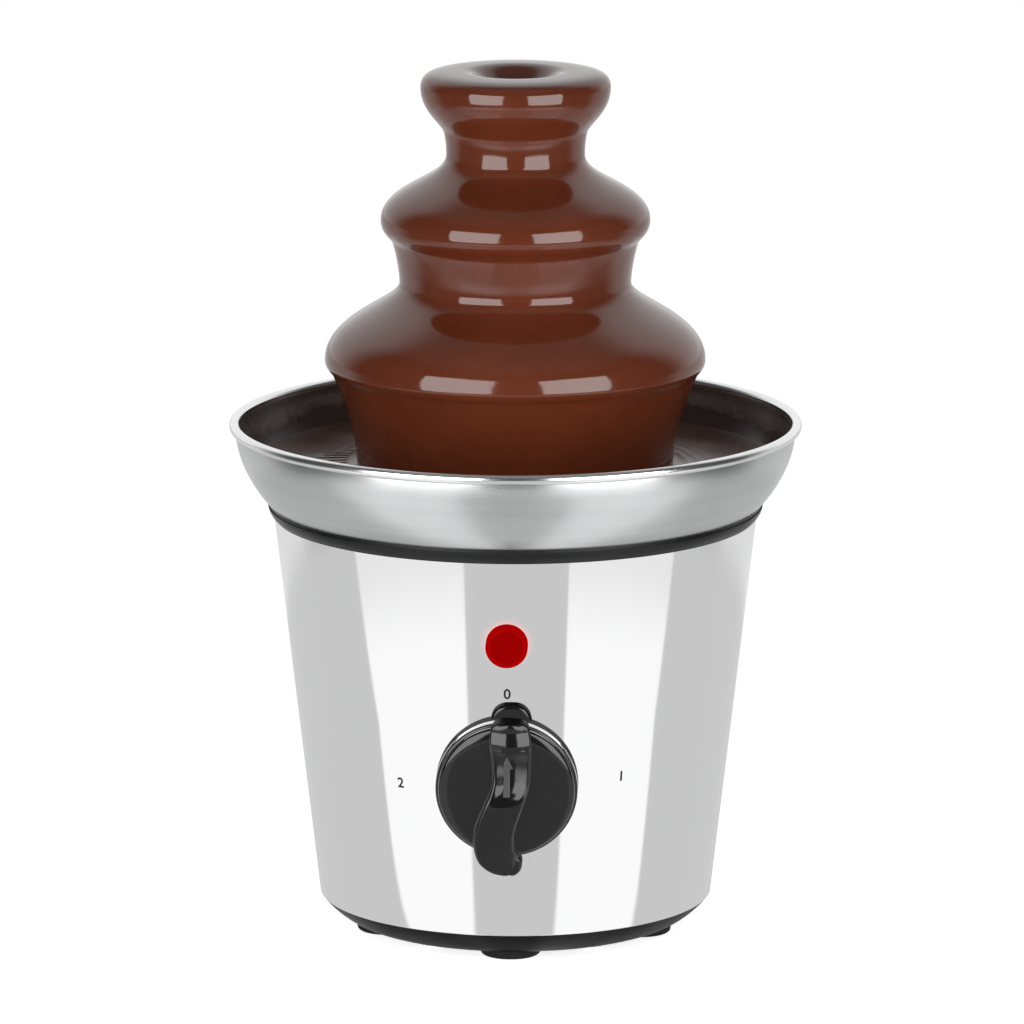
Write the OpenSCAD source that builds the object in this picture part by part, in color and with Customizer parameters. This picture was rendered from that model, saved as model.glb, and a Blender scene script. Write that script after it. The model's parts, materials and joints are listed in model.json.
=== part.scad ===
// Table chocolate fountain: heated bowl, auger tower and falling chocolate.
// Millimetres, +Z up, origin on the table under the middle of the stand, front towards -Y.

/* [Stand] */
// Number of rubber feet, one of them at the front
foot_count = 5; // [3:1:6]
// Diameter of a foot
foot_d = 20; // [14:0.5:22]
// Height of a foot under the base pan
foot_h = 3; // [3:0.5:10]
// Radius of the circle that the feet stand on
foot_ring_r = 44.6; // [40:0.2:46]
// Diameter of the plug that holds a foot in the pan
foot_plug_d = 7; // [5:0.5:9]
// Height of the base pan that shows under the shell
pan_h = 8; // [5:0.5:10]
// Thickness of the pan's floor
pan_floor_t = 2.4; // [1.6:0.1:4]
// Thickness of the pan's rim
pan_wall = 2.2; // [1.4:0.1:4]
// Height of the pan's rim inside the shell
pan_rim_h = 8; // [4:0.5:14]
// Width of the rounded slope under the pan
pan_round = 10.5; // [8:0.5:10.5]
// Number of air slots in the pan's floor
vent_count = 10; // [6:1:14]

/* [Shell] */
// Outer radius of the shell at its lower edge
shell_bottom_r = 65.4; // [62:0.2:70]
// Outer radius of the shell at its upper edge
shell_top_r = 80.2; // [76:0.2:82]
// Height of the shell
shell_h = 128.5; // [122:0.5:140]
// Thickness of the shell's sheet
shell_t = 0.8; // [0.5:0.1:1.5]
// Height of the collar between shell and bowl
collar_h = 4.2; // [4:0.2:7]
// How far the collar's upper edge stands out past the shell
collar_flare = 2.1; // [1:0.1:3]
// Depth of the collar's rim inside the shell
collar_rim_h = 8; // [4:0.5:14]
// Width of the collar's seat under the bowl
collar_seat_w = 9; // [6:0.5:12]
// Thickness of the silicone gasket under the bowl
gasket_t = 1; // [0.6:0.1:1.6]

/* [Bowl] */
// Outer radius of the bowl's rolled rim
rim_r = 95; // [92:0.5:100]
// Radius of the roll itself
roll_r = 1.65; // [1.2:0.05:2.2]
// Height of the bowl from its floor to the roll
bowl_h = 35.5; // [32:0.5:42]
// Radius of the bowl's flat floor
bowl_floor_r = 60; // [57:0.5:64]
// Thickness of the bowl's sheet
bowl_t = 0.9; // [0.6:0.1:1.4]
// How far the bowl's floor lies under the shell's upper edge
bowl_sink = 6.5; // [5:0.5:8]
// Slope of the bowl's wall where it rests in the collar, in degrees
seat_slope = 46; // [40:1:52]
// Depth of the chocolate in the bowl
pool_depth = 22.9; // [16:0.5:26]

/* [Chocolate] */
// Thickness of the running chocolate
film = 2.6; // [2:0.1:3.4]
// Height of the crest above the pool
crest_h = 131.5; // [128:0.5:140]
// Radius of the crest round the well at the top
crest_r = 17.2; // [16.6:0.1:19]
// Depth of the well inside the crest
well_depth = 8; // [4:0.5:10]
// Radius of the chocolate on the crown
crown_r = 31.5; // [30:0.5:34]
// Height of the crown's widest line above the pool
crown_z = 124.8; // [124:0.2:126]
// Radius of the curtain that falls from the crown
upper_neck_r = 23; // [22.5:0.1:24.5]
// Height of the foot of the crown's curtain above the pool
upper_neck_z = 103.7; // [102:0.1:105]
// Radius of the chocolate on the middle tier
middle_r = 44.7; // [43:0.1:48]
// Height of the middle tier's widest line above the pool
middle_z = 82.7; // [81:0.1:84]
// Radius of the curtain that falls from the middle tier
lower_neck_r = 38.5; // [37.5:0.1:39.5]
// Height of the foot of the middle curtain above the pool
lower_neck_z = 61.1; // [60:0.1:62.5]
// Radius of the chocolate on the lower tier
lower_r = 63.3; // [61:0.1:66]
// Height of the lower tier's widest line above the pool
lower_z = 36.9; // [36:0.1:38]
// Radius of the lowest curtain where it meets the pool
curtain_r = 52.8; // [50:0.1:56]

/* [Tower] */
// Inner radius of the tower tube
tube_r = 14; // [12.5:0.1:14.4]
// Wall of the tower tube
tube_t = 1.6; // [1.2:0.1:1.8]
// Height of the openings under the tube where chocolate runs in
inlet_h = 6; // [4:0.5:7]
// Number of legs under the tube
leg_count = 3; // [3:1:5]
// Width of a leg under the tube
leg_w = 6; // [4:0.5:8]
// Thickness of a tier's dish
tier_t = 1.6; // [1.2:0.1:2]
// Height of a tier's hub on the tube
hub_h = 8; // [6:0.5:10]
// Wall of a tier's hub
hub_t = 1.8; // [1.4:0.1:2.2]

/* [Auger] */
// Radius of the auger's core
core_r = 6.4; // [5.8:0.1:7]
// Rise of the flight in one turn
flight_pitch = 22; // [18:1:28]
// Thickness of the flight
flight_t = 1.6; // [1.2:0.1:2.4]
// Radius of the drive shaft
shaft_r = 4; // [3.4:0.1:4.4]
// Depth of the shaft's upper end in the auger
shaft_grip = 18; // [12:1:24]

/* [Gears] */
// Tooth module of both gear pairs
gear_module = 0.75; // [0.7:0.01:0.8]
// Teeth of a pinion
pinion_teeth = 16; // [16:1:18]
// Teeth of a wheel
wheel_teeth = 48; // [46:1:52]
// Width of a wheel
gear_w = 5; // [4:0.25:6]
// Play of a tooth in its gap
backlash = 0.24; // [0.2:0.01:0.3]
// Radius of the idler's pin
pin_r = 1.5; // [1.2:0.1:1.8]
// Wall of the gearbox
case_t = 2; // [1.6:0.1:3]
// Floor of the gearbox
case_floor_t = 3; // [2.4:0.1:4]

/* [Motor] */
// Radius of the motor can
motor_r = 18.5; // [17.5:0.1:20]
// Height of the motor can
motor_h = 40; // [34:0.5:44]
// Wall of the motor can
can_t = 1; // [0.8:0.1:1.4]
// Radius of the motor's shaft
motor_shaft_r = 1.5; // [1.2:0.1:1.8]
// Thickness of a magnet
magnet_t = 3.4; // [2.6:0.1:4]
// Gap between magnets and armature
air_gap = 0.8; // [0.5:0.1:1.2]

/* [Frame] */
// How far the deck lies under the shell's upper edge
deck_drop = 42.5; // [41:0.5:45]
// Thickness of the deck
deck_t = 1.5; // [1:0.1:2.5]
// Radius of the deck
deck_r = 62; // [60:0.5:64]
// Radius of the circle of pillars
pillar_ring_r = 46; // [44:0.2:48]
// Radius of a pillar
pillar_r = 4; // [3.4:0.1:4.6]
// Radius of the circle of studs under the bowl
stud_ring_r = 55; // [54.5:0.1:56]
// Radius of a stud
stud_r = 2; // [1.6:0.1:2.4]
// Radius of a screw's shank
screw_r = 1.5; // [1.2:0.1:1.8]

/* [Heat] */
// Radius of the heat spreader
spreader_r = 49; // [46:0.5:50]
// Thickness of the heat spreader
spreader_t = 5; // [4:0.2:7]
// Radius of the ring of the heating element
heater_ring_r = 38; // [36:0.5:40]
// Radius of the heating element's tube
heater_r = 3.2; // [2.6:0.1:3.6]
// Angle that the heating element goes round
heater_angle = 300; // [280:2:310]

/* [Controls] */
// How far the knob's middle lies under the pilot lamp
knob_drop = 46.5; // [42:0.5:50]
// Radius of the knob's disc
knob_r = 23.2; // [21:0.2:25]
// Height of the knob's rim
knob_rim_h = 9.4; // [8.4:0.2:10.4]
// Rise of the knob's dome above its rim
knob_dome = 2.8; // [2.2:0.2:3.6]
// Gap between knob and shell
knob_gap = 0.9; // [0.5:0.1:1.6]
// Width of the knob's pointer tab
tab_w = 13; // [10:0.5:16]
// How far the pointer tab stands out past the disc
tab_l = 4; // [3:0.2:6]
// Half width of the grip on the knob
grip_r = 6.4; // [5.8:0.1:6.8]
// Radius of the switch's shaft
switch_shaft_r = 3; // [2.6:0.1:3.2]
// Width of the switch's body
switch_w = 26; // [22:0.5:28]
// Depth of the switch's body
switch_d = 15; // [12:0.5:18]
// How far the pilot lamp lies under the shell's upper edge
lamp_drop = 27.5; // [22:0.5:30]
// Radius of the pilot lamp's lens
lens_r = 6.9; // [6:0.1:8]
// How far the lens stands out of the shell
lens_h = 4.6; // [3:0.1:5.5]
// Height of the cord gland above the table, at the back
gland_z = 27; // [24:0.5:32]
// Radius of the gland's bore
gland_bore_r = 3.6; // [3:0.1:4.4]
// Radius of a lead's insulation
lead_r = 0.9; // [0.6:0.05:1.1]

/* [Clearances] */
// Running gap of a shaft in its bearing
run_gap = 0.05; // [0.03:0.01:0.08]
// Gap between pieces that are fitted together
fit_gap = 0.1; // [0.06:0.01:0.2]
// Gap between pieces that move past each other
move_gap = 0.4; // [0.3:0.05:0.6]

/* [Hidden] */
$fn = 96;
eps = 0.01;

// Heights of the stack, from the table up.
z_pan = foot_h;
z_floor = z_pan + pan_floor_t;
z_shell = z_pan + pan_h;
z_top = z_shell + shell_h;
z_bowl = z_top - bowl_sink;
z_basin = z_bowl + bowl_t;
z_roll = z_bowl + bowl_h;
z_pool = z_basin + pool_depth;
z_crest = z_pool + crest_h;
z_deck = z_top - deck_drop;
lamp_z = z_top - lamp_drop;
knob_z = lamp_z - knob_drop;
z_cover = z_deck - deck_t - case_t;
gear_gap = 2;
gear_clear = 1.5;
bush_lip = 1;
case_h = case_floor_t + 2 * gear_clear + gear_gap + 2 * gear_w + bush_lip;
z_case = z_cover - case_h;
z_wheel_a = z_case + case_floor_t + gear_clear;
z_wheel_b = z_wheel_a + gear_w + gear_gap;
z_motor = z_case - motor_h;
cap_h = 5;

// The shell is a cone: its radius at a height, and its lean.
lean = atan((shell_top_r - shell_bottom_r) / shell_h);
shell_wall = shell_t / cos(lean);
function shell_r(z) = shell_bottom_r + (z - z_shell) * tan(lean);
function shell_in(z) = shell_r(z) - shell_wall;

// Angles of feet, pillars between them, and studs.
function foot_a(i) = -90 + i * 360 / foot_count;
function pillar_a(j) = -90 + (round(j * (foot_count - 1) / 2) + 0.5) * 360 / foot_count;
stud_a = [90, 210, 330];

// A cubic curve, a chain of curves, and a curve moved sideways to the right of its run.
curve_steps = 12;
function curve(a, b, c, d, n = curve_steps) = [for (i = [0:n]) let (t = i / n)
    a * pow(1 - t, 3) + b * 3 * t * pow(1 - t, 2) + c * 3 * t * t * (1 - t) + d * pow(t, 3)];
function chain(runs) = [for (i = [0:len(runs) - 1]) for (j = [i == 0 ? 0 : 1:len(runs[i]) - 1]) runs[i][j]];
function beside(pts, d) = [for (i = [0:len(pts) - 1])
    let (run = pts[min(i + 1, len(pts) - 1)] - pts[max(i - 1, 0)], u = run / norm(run))
    pts[i] + d * [u[1], -u[0]]];
function backwards(pts) = [for (i = [len(pts) - 1:-1:0]) pts[i]];

// The bowl's outer line: from its floor's edge through its seat at the collar's edge up to the roll.
roll_in = 0.45;
seat_in = 0.82;
floor_bend = 7.6;
seat_bend_low = 8.8;
seat_bend_high = 9.7;
wall_bend = 8.4;
bowl_r = rim_r - roll_r - roll_in;
seat_at = [shell_top_r + collar_flare - seat_in, z_top + collar_h];
seat_way = [cos(seat_slope), sin(seat_slope)];
bowl_low = curve([bowl_floor_r, z_bowl], [bowl_floor_r + floor_bend, z_bowl],
    seat_at - seat_bend_low * seat_way, seat_at, 10);
bowl_high = curve(seat_at, seat_at + seat_bend_high * seat_way, [bowl_r, z_roll - wall_bend],
    [bowl_r, z_roll], 10);
bowl_line = chain([bowl_low, bowl_high]);
function bowl_out(d) = beside(bowl_line, d);

// The outer line of the running chocolate, from the well on the axis down to the pool.
// A lip lies beside the neck under it or the widest line over it, and a pull is a curve's handle.
function at(r, h) = [r, z_pool + h];
crown_lip_out = 1.3;
crown_lip_up = 8.7;
middle_lip_out = 2.7;
middle_lip_up = 14.2;
lower_lip_in = 2.6;
lower_lip_down = 5.2;
crest_pull = 10.4;
crown_pull = 5.9;
crown_tuck = 6;
neck_pull = 4;
middle_spread = 8.4;
middle_pull = 11;
middle_tuck = 4;
lower_spread = 7.3;
lower_pull = 13.1;
lower_tuck = 3;
foot_pull = 12;
drip = 2;
crown_lip = at(upper_neck_r + crown_lip_out, upper_neck_z + crown_lip_up);
middle_lip = at(lower_neck_r + middle_lip_out, lower_neck_z + middle_lip_up);
lower_lip = at(lower_r - lower_lip_in, lower_z - lower_lip_down);
well_run = curve([0, z_crest - well_depth], [crest_r * 0.5, z_crest - well_depth], [crest_r * 0.6, z_crest],
    [crest_r, z_crest]);
crown_run = curve([crest_r, z_crest], [crest_r + crest_pull, z_crest], at(crown_r, crown_z + crown_pull),
    at(crown_r, crown_z));
crown_under = curve(at(crown_r, crown_z), at(crown_r, crown_z - crown_tuck), crown_lip + drip * [1.5, 1],
    crown_lip, 8);
upper_fall = curve(crown_lip, crown_lip - drip * [0.5, 1], at(upper_neck_r, upper_neck_z + neck_pull),
    at(upper_neck_r, upper_neck_z), 6);
middle_run = curve(at(upper_neck_r, upper_neck_z), at(upper_neck_r, upper_neck_z - middle_spread),
    at(middle_r, middle_z + middle_pull), at(middle_r, middle_z));
middle_under = curve(at(middle_r, middle_z), at(middle_r, middle_z - middle_tuck),
    middle_lip + drip * [1, 0.75], middle_lip, 6);
middle_fall = curve(middle_lip, middle_lip - drip * [0.5, 1], at(lower_neck_r, lower_neck_z + neck_pull),
    at(lower_neck_r, lower_neck_z), 6);
lower_run = curve(at(lower_neck_r, lower_neck_z), at(lower_neck_r, lower_neck_z - lower_spread),
    at(lower_r, lower_z + lower_pull), at(lower_r, lower_z));
lower_under = curve(at(lower_r, lower_z), at(lower_r, lower_z - lower_tuck), lower_lip + drip * [0.45, 0.6],
    lower_lip, 6);
lower_fall = curve(lower_lip, lower_lip - drip * [0.8, 2], at(curtain_r, foot_pull),
    at(curtain_r, move_gap), 10);
crown_line = chain([well_run, crown_run, crown_under]);

// Frame on the shell's slope: X to the right, Y up the slope, Z straight out.
module on_front(z) {
    translate([0, -shell_r(z), z]) rotate([90 + lean, 0, 0]) children();
}
module on_back(z) {
    rotate([0, 0, 180]) on_front(z) children();
}
module ring_at(radius, angles) {
    for (a = angles) rotate([0, 0, a]) translate([radius, 0, 0]) children();
}
module tube(r_out, r_in, h) {
    difference() {
        cylinder(r = r_out, h = h);
        translate([0, 0, -eps]) cylinder(r = r_in, h = h + 2 * eps);
    }
}
module spun(pts) {
    rotate_extrude() polygon(pts);
}
// A screw with its head's underside at Z = 0 and its shank downwards.
head_h = 2;
head_r = screw_r * 2;
slot_w = 0.8;
slot_d = 0.8;
tip_room = 1;
module screw(l) {
    translate([0, 0, -l]) cylinder(r = screw_r, h = l + eps);
    difference() {
        cylinder(r = head_r, h = head_h);
        translate([-head_r, -slot_w / 2, head_h - slot_d]) cube([2 * head_r, slot_w, slot_d + eps]);
    }
}
screw_bore = screw_r + run_gap;
screw_pass = screw_r + move_gap;
press = 0.02;
// A skin round rings of points, each ring with the same number of sides.
module swept(points, sides) {
    last = len(points) / sides - 1;
    walls = [for (k = [0:last - 1], j = [0:sides - 1]) let (p = sides * k, q = p + sides, m = (j + 1) % sides)
        each [[p + j, p + m, q + m], [p + j, q + m, q + j]]];
    first_end = [for (j = [sides - 1:-1:0]) j];
    last_end = [for (j = [0:sides - 1]) sides * last + j];
    polyhedron(points, concat([first_end], walls, [last_end]));
}

// Stand.
foot_angles = [for (i = [0:foot_count - 1]) foot_a(i)];
pillar_angles = [for (j = [0:2]) pillar_a(j)];
plug_r = foot_plug_d / 2;
foot_round = 1.3;
barb_w = 1.2;
barb_h = 3;
module rubber_feet() {
    edge = curve([foot_d / 2 - foot_round, 0], [foot_d / 2 - foot_round / 2, 0], [foot_d / 2, foot_round / 2],
        [foot_d / 2, foot_round], 4);
    plug = [[plug_r, z_pan], [plug_r, z_floor + fit_gap], [plug_r + barb_w, z_floor + fit_gap],
        [plug_r - barb_w / 3, z_floor + barb_h], [0, z_floor + barb_h]];
    color([0.04, 0.04, 0.04]) ring_at(foot_ring_r, foot_angles)
        spun(concat([[0, 0]], edge, [[foot_d / 2, z_pan]], plug));
}
pan_in = shell_in(z_shell) - fit_gap;
pan_in_top = shell_in(z_shell + pan_rim_h) - fit_gap;
pan_step = 0.2;
pan_fillet = pan_round * 0.85;
pan_low = 0.7;
pan_lift = 0.1;
pan_high = 0.2;
pan_fall = 0.35;
vent_in = 14;
vent_l = 16;
vent_w = 2.8;
module base_pan() {
    pan_r = shell_bottom_r - pan_step;
    edge = curve([pan_r - pan_round, z_pan], [pan_r - pan_round * pan_low, z_pan + pan_h * pan_lift],
        [pan_r - pan_round * pan_high, z_shell - pan_h * pan_fall], [pan_r, z_shell], 8);
    color([0.05, 0.05, 0.05]) difference() {
        spun(concat([[0, z_pan]], edge, [[pan_in, z_shell], [pan_in_top, z_shell + pan_rim_h],
            [pan_in_top - pan_wall, z_shell + pan_rim_h], [pan_in - pan_wall, z_shell],
            [pan_in - pan_wall - pan_fillet, z_floor], [0, z_floor]]));
        translate([0, 0, z_pan - eps]) {
            ring_at(foot_ring_r, foot_angles) cylinder(r = plug_r + run_gap, h = pan_floor_t + 2 * eps);
            ring_at(pillar_ring_r, pillar_angles) cylinder(r = screw_pass, h = pan_floor_t + 2 * eps);
            for (i = [0:vent_count - 1]) rotate([0, 0, (i + 0.5) * 360 / vent_count])
                translate([vent_in, -vent_w / 2, 0]) cube([vent_l, vent_w, pan_floor_t + 2 * eps]);
            ring_at(block_x, [block_a]) for (s = [-1, 1]) translate([0, s * block_screw_y, 0])
                cylinder(r = screw_pass, h = pan_floor_t + 2 * eps);
        }
    }
}
pillar_h = z_deck - deck_t - z_floor;
base_screw_in = 10;
deck_screw_in = 8;
base_screw_l = pan_floor_t + base_screw_in;
deck_screw_l = deck_t + deck_screw_in;
module base_screws() {
    color([0.7, 0.7, 0.72]) ring_at(pillar_ring_r, pillar_angles)
        translate([0, 0, z_pan]) rotate([180, 0, 0]) screw(base_screw_l);
}
module pillars() {
    color([0.75, 0.75, 0.77]) ring_at(pillar_ring_r, pillar_angles) translate([0, 0, z_floor]) difference() {
        cylinder(r = pillar_r, h = pillar_h);
        translate([0, 0, -eps]) cylinder(r = screw_bore, h = base_screw_in + tip_room);
        translate([0, 0, pillar_h - deck_screw_in - tip_room])
            cylinder(r = screw_bore, h = deck_screw_in + tip_room + eps);
    }
}
module deck_screws() {
    color([0.7, 0.7, 0.72]) ring_at(pillar_ring_r, pillar_angles)
        translate([0, 0, z_deck]) screw(deck_screw_l);
}

// Frame.
centre_gap = gear_module * (pinion_teeth + wheel_teeth) / 2;
wheel_tip = gear_module * (wheel_teeth / 2 + 1);
case_in_r = wheel_tip + gear_clear;
case_r = case_in_r + case_t;
ear_wall = 2.6;
ear_in = 1.2;
bush_wall = 3;
bush_room = 1.2;
ear_r = screw_r + ear_wall;
ear_y = case_r + ear_r - ear_in;
bush_r = shaft_r + bush_wall;
// Holes in the deck for leads: at the side for the heater, at the front for the lamp.
side_hole_r = 6;
side_hole_at = [-41.5, 24];
front_hole_r = 5;
front_hole_at = [0, -43];
module at_ears() {
    for (x = [0, centre_gap], s = [-1, 1]) translate([x, s * ear_y, 0]) children();
}
module deck_plate() {
    color([0.72, 0.73, 0.75]) translate([0, 0, z_deck - deck_t]) difference() {
        cylinder(r = deck_r, h = deck_t);
        translate([0, 0, -eps]) {
            cylinder(r = bush_r + bush_room, h = deck_t + 2 * eps);
            ring_at(pillar_ring_r, pillar_angles) cylinder(r = screw_pass, h = deck_t + 2 * eps);
            ring_at(stud_ring_r, stud_a) cylinder(r = stud_r + fit_gap, h = deck_t + 2 * eps);
            at_ears() cylinder(r = screw_pass, h = deck_t + 2 * eps);
            translate(side_hole_at) cylinder(r = side_hole_r, h = deck_t + 2 * eps);
            translate(front_hole_at) cylinder(r = front_hole_r, h = deck_t + 2 * eps);
        }
    }
}
nut_h = stud_r * 1.6;
nut_r = stud_r * 2;
stud_rest = 2;
stud_tail = deck_t + nut_h + stud_rest;
module bowl_studs() {
    color([0.7, 0.7, 0.72]) ring_at(stud_ring_r, stud_a)
        translate([0, 0, z_deck - stud_tail]) cylinder(r = stud_r, h = z_bowl - z_deck + stud_tail);
}
module stud_nuts() {
    color([0.78, 0.74, 0.6]) ring_at(stud_ring_r, stud_a) for (z = [z_deck, z_deck - deck_t - nut_h])
        translate([0, 0, z]) difference() {
            cylinder(r = nut_r, h = nut_h, $fn = 6);
            translate([0, 0, -eps]) cylinder(r = stud_r + run_gap, h = nut_h + 2 * eps);
        }
}

// Shell and collar.
hole_in = 6;
hole_l = 10;
module body_shell() {
    color([0.86, 0.86, 0.87]) difference() {
        spun([[shell_in(z_shell), z_shell], [shell_bottom_r, z_shell], [shell_top_r, z_top],
            [shell_in(z_top), z_top]]);
        on_front(knob_z) translate([0, 0, -hole_in]) cylinder(r = neck_r + fit_gap, h = hole_l);
        on_front(lamp_z) translate([0, 0, -hole_in]) cylinder(r = lens_stem_r + fit_gap, h = hole_l);
        on_back(gland_z) translate([0, 0, -hole_in]) cylinder(r = gland_neck_r + fit_gap, h = hole_l);
    }
}
collar_in = shell_in(z_top) - fit_gap;
collar_in_low = shell_in(z_top - collar_rim_h) - fit_gap;
collar_seat_r = collar_in - collar_seat_w;
collar_rim_t = 2.4;
collar_step = 0.2;
collar_seat_d = 4;
module collar_ring() {
    collar_out = shell_top_r + collar_flare;
    side = curve([shell_top_r + collar_step, z_top],
        [shell_top_r + collar_flare * 2 / 3, z_top + collar_h * 0.3],
        [collar_out, z_top + collar_h * 0.6], [collar_out, z_top + collar_h], 6);
    color([0.06, 0.06, 0.06]) difference() {
        spun(concat([[collar_in, z_top]], side, [[collar_seat_r, z_top + collar_h],
            [collar_seat_r, z_top - collar_seat_d], [collar_in - collar_rim_t, z_top - collar_seat_d],
            [collar_in_low - collar_rim_t, z_top - collar_rim_h], [collar_in_low, z_top - collar_rim_h]]));
        spun(concat([[0, z_bowl - gasket_t]], bowl_out(gasket_t), [[0, z_roll]]));
    }
}
gasket_lip = 0.4;
gasket_in = 0.6;
module bowl_gasket() {
    color([0.08, 0.08, 0.08]) difference() {
        intersection() {
            spun(concat([[0, z_bowl - gasket_t]], bowl_out(gasket_t - run_gap), [[0, z_roll]]));
            translate([0, 0, z_bowl]) tube(shell_top_r + collar_flare - gasket_lip, collar_seat_r + gasket_in,
                bowl_h);
        }
        spun(concat([[0, z_bowl]], bowl_out(run_gap), [[0, z_roll]]));
    }
}

// Bowl and what lies in it.
bush_hole = bush_r + fit_gap;
module bowl() {
    color([0.82, 0.82, 0.84]) {
        difference() {
            union() {
                spun(concat([[0, z_bowl]], bowl_line, backwards(bowl_out(-bowl_t)), [[0, z_basin]]));
                rotate_extrude() translate([rim_r - roll_r, z_roll + roll_r * 0.8]) circle(r = roll_r);
            }
            translate([0, 0, z_bowl - eps]) cylinder(r = bush_hole, h = bowl_t + 2 * eps);
        }
    }
}
foot_flange_w = 3;
foot_flange_r = tube_r + tube_t + foot_flange_w;
pool_hole_r = foot_flange_r + move_gap;
pool_gap = 0.15;
module chocolate_pool() {
    color([0.3, 0.14, 0.08]) difference() {
        intersection() {
            spun(concat([[0, z_basin]], bowl_out(-bowl_t - pool_gap), [[0, z_roll]]));
            translate([0, 0, z_basin]) cylinder(r = rim_r, h = pool_depth);
        }
        translate([0, 0, z_bowl]) cylinder(r = pool_hole_r, h = bowl_h);
    }
}

// Bearing of the drive shaft in the bowl's floor.
flange_w = 4;
flange_r = bush_r + flange_w;
flange_h = 2.4;
washer_h = 1;
washer_in = 1;
bush_nut_h = 3.4;
bush_nut_in = 0.6;
bush_rest = 1.2;
bush_up = washer_h + bush_nut_h + bush_rest;
bush_down = 6;
seal_h = 2;
seal_in = 0.6;
module bowl_bush() {
    color([0.78, 0.68, 0.4]) difference() {
        union() {
            translate([0, 0, z_bowl - bush_down]) cylinder(r = bush_r, h = bush_down + bowl_t + bush_up);
            translate([0, 0, z_bowl - flange_h]) cylinder(r = flange_r, h = flange_h);
        }
        translate([0, 0, z_bowl - bush_down - eps]) cylinder(r = shaft_r + run_gap, h = bowl_h);
    }
}
module bush_washer() {
    color([0.75, 0.2, 0.15]) translate([0, 0, z_basin]) tube(flange_r - washer_in, bush_r + run_gap, washer_h);
}
module bush_nut() {
    color([0.7, 0.7, 0.72]) translate([0, 0, z_basin + washer_h]) difference() {
        cylinder(r = flange_r - bush_nut_in, h = bush_nut_h, $fn = 6);
        translate([0, 0, -eps]) cylinder(r = bush_r + run_gap, h = bush_nut_h + 2 * eps);
    }
}
module shaft_seal() {
    color([0.75, 0.2, 0.15]) translate([0, 0, z_basin + bush_up])
        tube(bush_r - seal_in, shaft_r + run_gap, seal_h);
}

// Heat.
z_spreader = z_bowl - spreader_t;
spreader_room = 1;
module heat_spreader() {
    color([0.74, 0.75, 0.77]) difference() {
        translate([0, 0, z_spreader]) cylinder(r = spreader_r, h = spreader_t);
        translate([0, 0, z_spreader - eps]) cylinder(r = flange_r + spreader_room, h = spreader_t + 2 * eps);
        rotate_extrude() translate([heater_ring_r, z_spreader]) circle(r = heater_r + fit_gap);
        translate([-thermo_x, 0, z_spreader - eps]) for (s = [-1, 1]) translate([0, s * thermo_ear, 0])
            cylinder(r = screw_bore, h = spreader_t - tip_room);
    }
}
heater_start = 90 + (360 - heater_angle) / 2;
heater_pin_a = 3;
heater_pin_r = 1.4;
heater_pin_l = 9;
heater_pin_in = 2;
heater_pins = [heater_start + heater_pin_a, heater_start + heater_angle - heater_pin_a];
z_heater_pin = z_spreader - heater_r - heater_pin_l;
module heating_element() {
    color([0.35, 0.34, 0.33]) {
        rotate([0, 0, heater_start]) rotate_extrude(angle = heater_angle) translate([heater_ring_r, z_spreader])
            circle(r = heater_r);
        ring_at(heater_ring_r, heater_pins) translate([0, 0, z_heater_pin])
            cylinder(r = heater_pin_r, h = heater_pin_l + heater_pin_in);
    }
}
thermo_r = 6;
thermo_x = 24;
thermo_h = 7;
thermo_plate_t = 1.2;
thermo_plate_w = 7.2;
thermo_ear_l = 3;
thermo_ear_gap = 1.8;
thermo_ear = thermo_r + screw_r + thermo_ear_gap;
thermo_screw_in = spreader_t - 1.6;
blade_x = 2.6;
blade_t = 0.8;
blade_w = 4;
blade_l = 5;
z_blade = z_spreader - thermo_h - blade_l;
module thermostat() {
    color([0.75, 0.75, 0.78]) translate([-thermo_x, 0, z_spreader - thermo_h]) {
        cylinder(r = thermo_r, h = thermo_h);
        translate([0, 0, thermo_h - thermo_plate_t]) difference() {
            translate([-thermo_plate_w / 2, -thermo_ear - thermo_ear_l, 0])
                cube([thermo_plate_w, 2 * (thermo_ear + thermo_ear_l), thermo_plate_t]);
            for (s = [-1, 1]) translate([0, s * thermo_ear, -eps])
                cylinder(r = screw_pass, h = thermo_plate_t + 2 * eps);
        }
        for (s = [-1, 1]) translate([s * blade_x - blade_t / 2, -blade_w / 2, -blade_l])
            cube([blade_t, blade_w, blade_l + eps]);
    }
}
module thermostat_screws() {
    color([0.7, 0.7, 0.72]) translate([-thermo_x, 0, z_spreader - thermo_plate_t]) for (s = [-1, 1])
        translate([0, s * thermo_ear, 0]) rotate([180, 0, 0]) screw(thermo_plate_t + thermo_screw_in);
}
fuse_l = 14;
fuse_w = 5.2;
fuse_h = 4;
fuse_pin_r = 0.6;
fuse_pin_l = 6;
module thermal_fuse() {
    color([0.8, 0.76, 0.66]) translate([thermo_x, 0, z_spreader]) {
        translate([-fuse_w / 2, -fuse_l / 2, -fuse_h]) cube([fuse_w, fuse_l, fuse_h]);
        for (s = [-1, 1]) translate([0, s * fuse_l / 2, -fuse_h / 2]) rotate([-s * 90, 0, 0])
            cylinder(r = fuse_pin_r, h = fuse_pin_l);
    }
}

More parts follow.
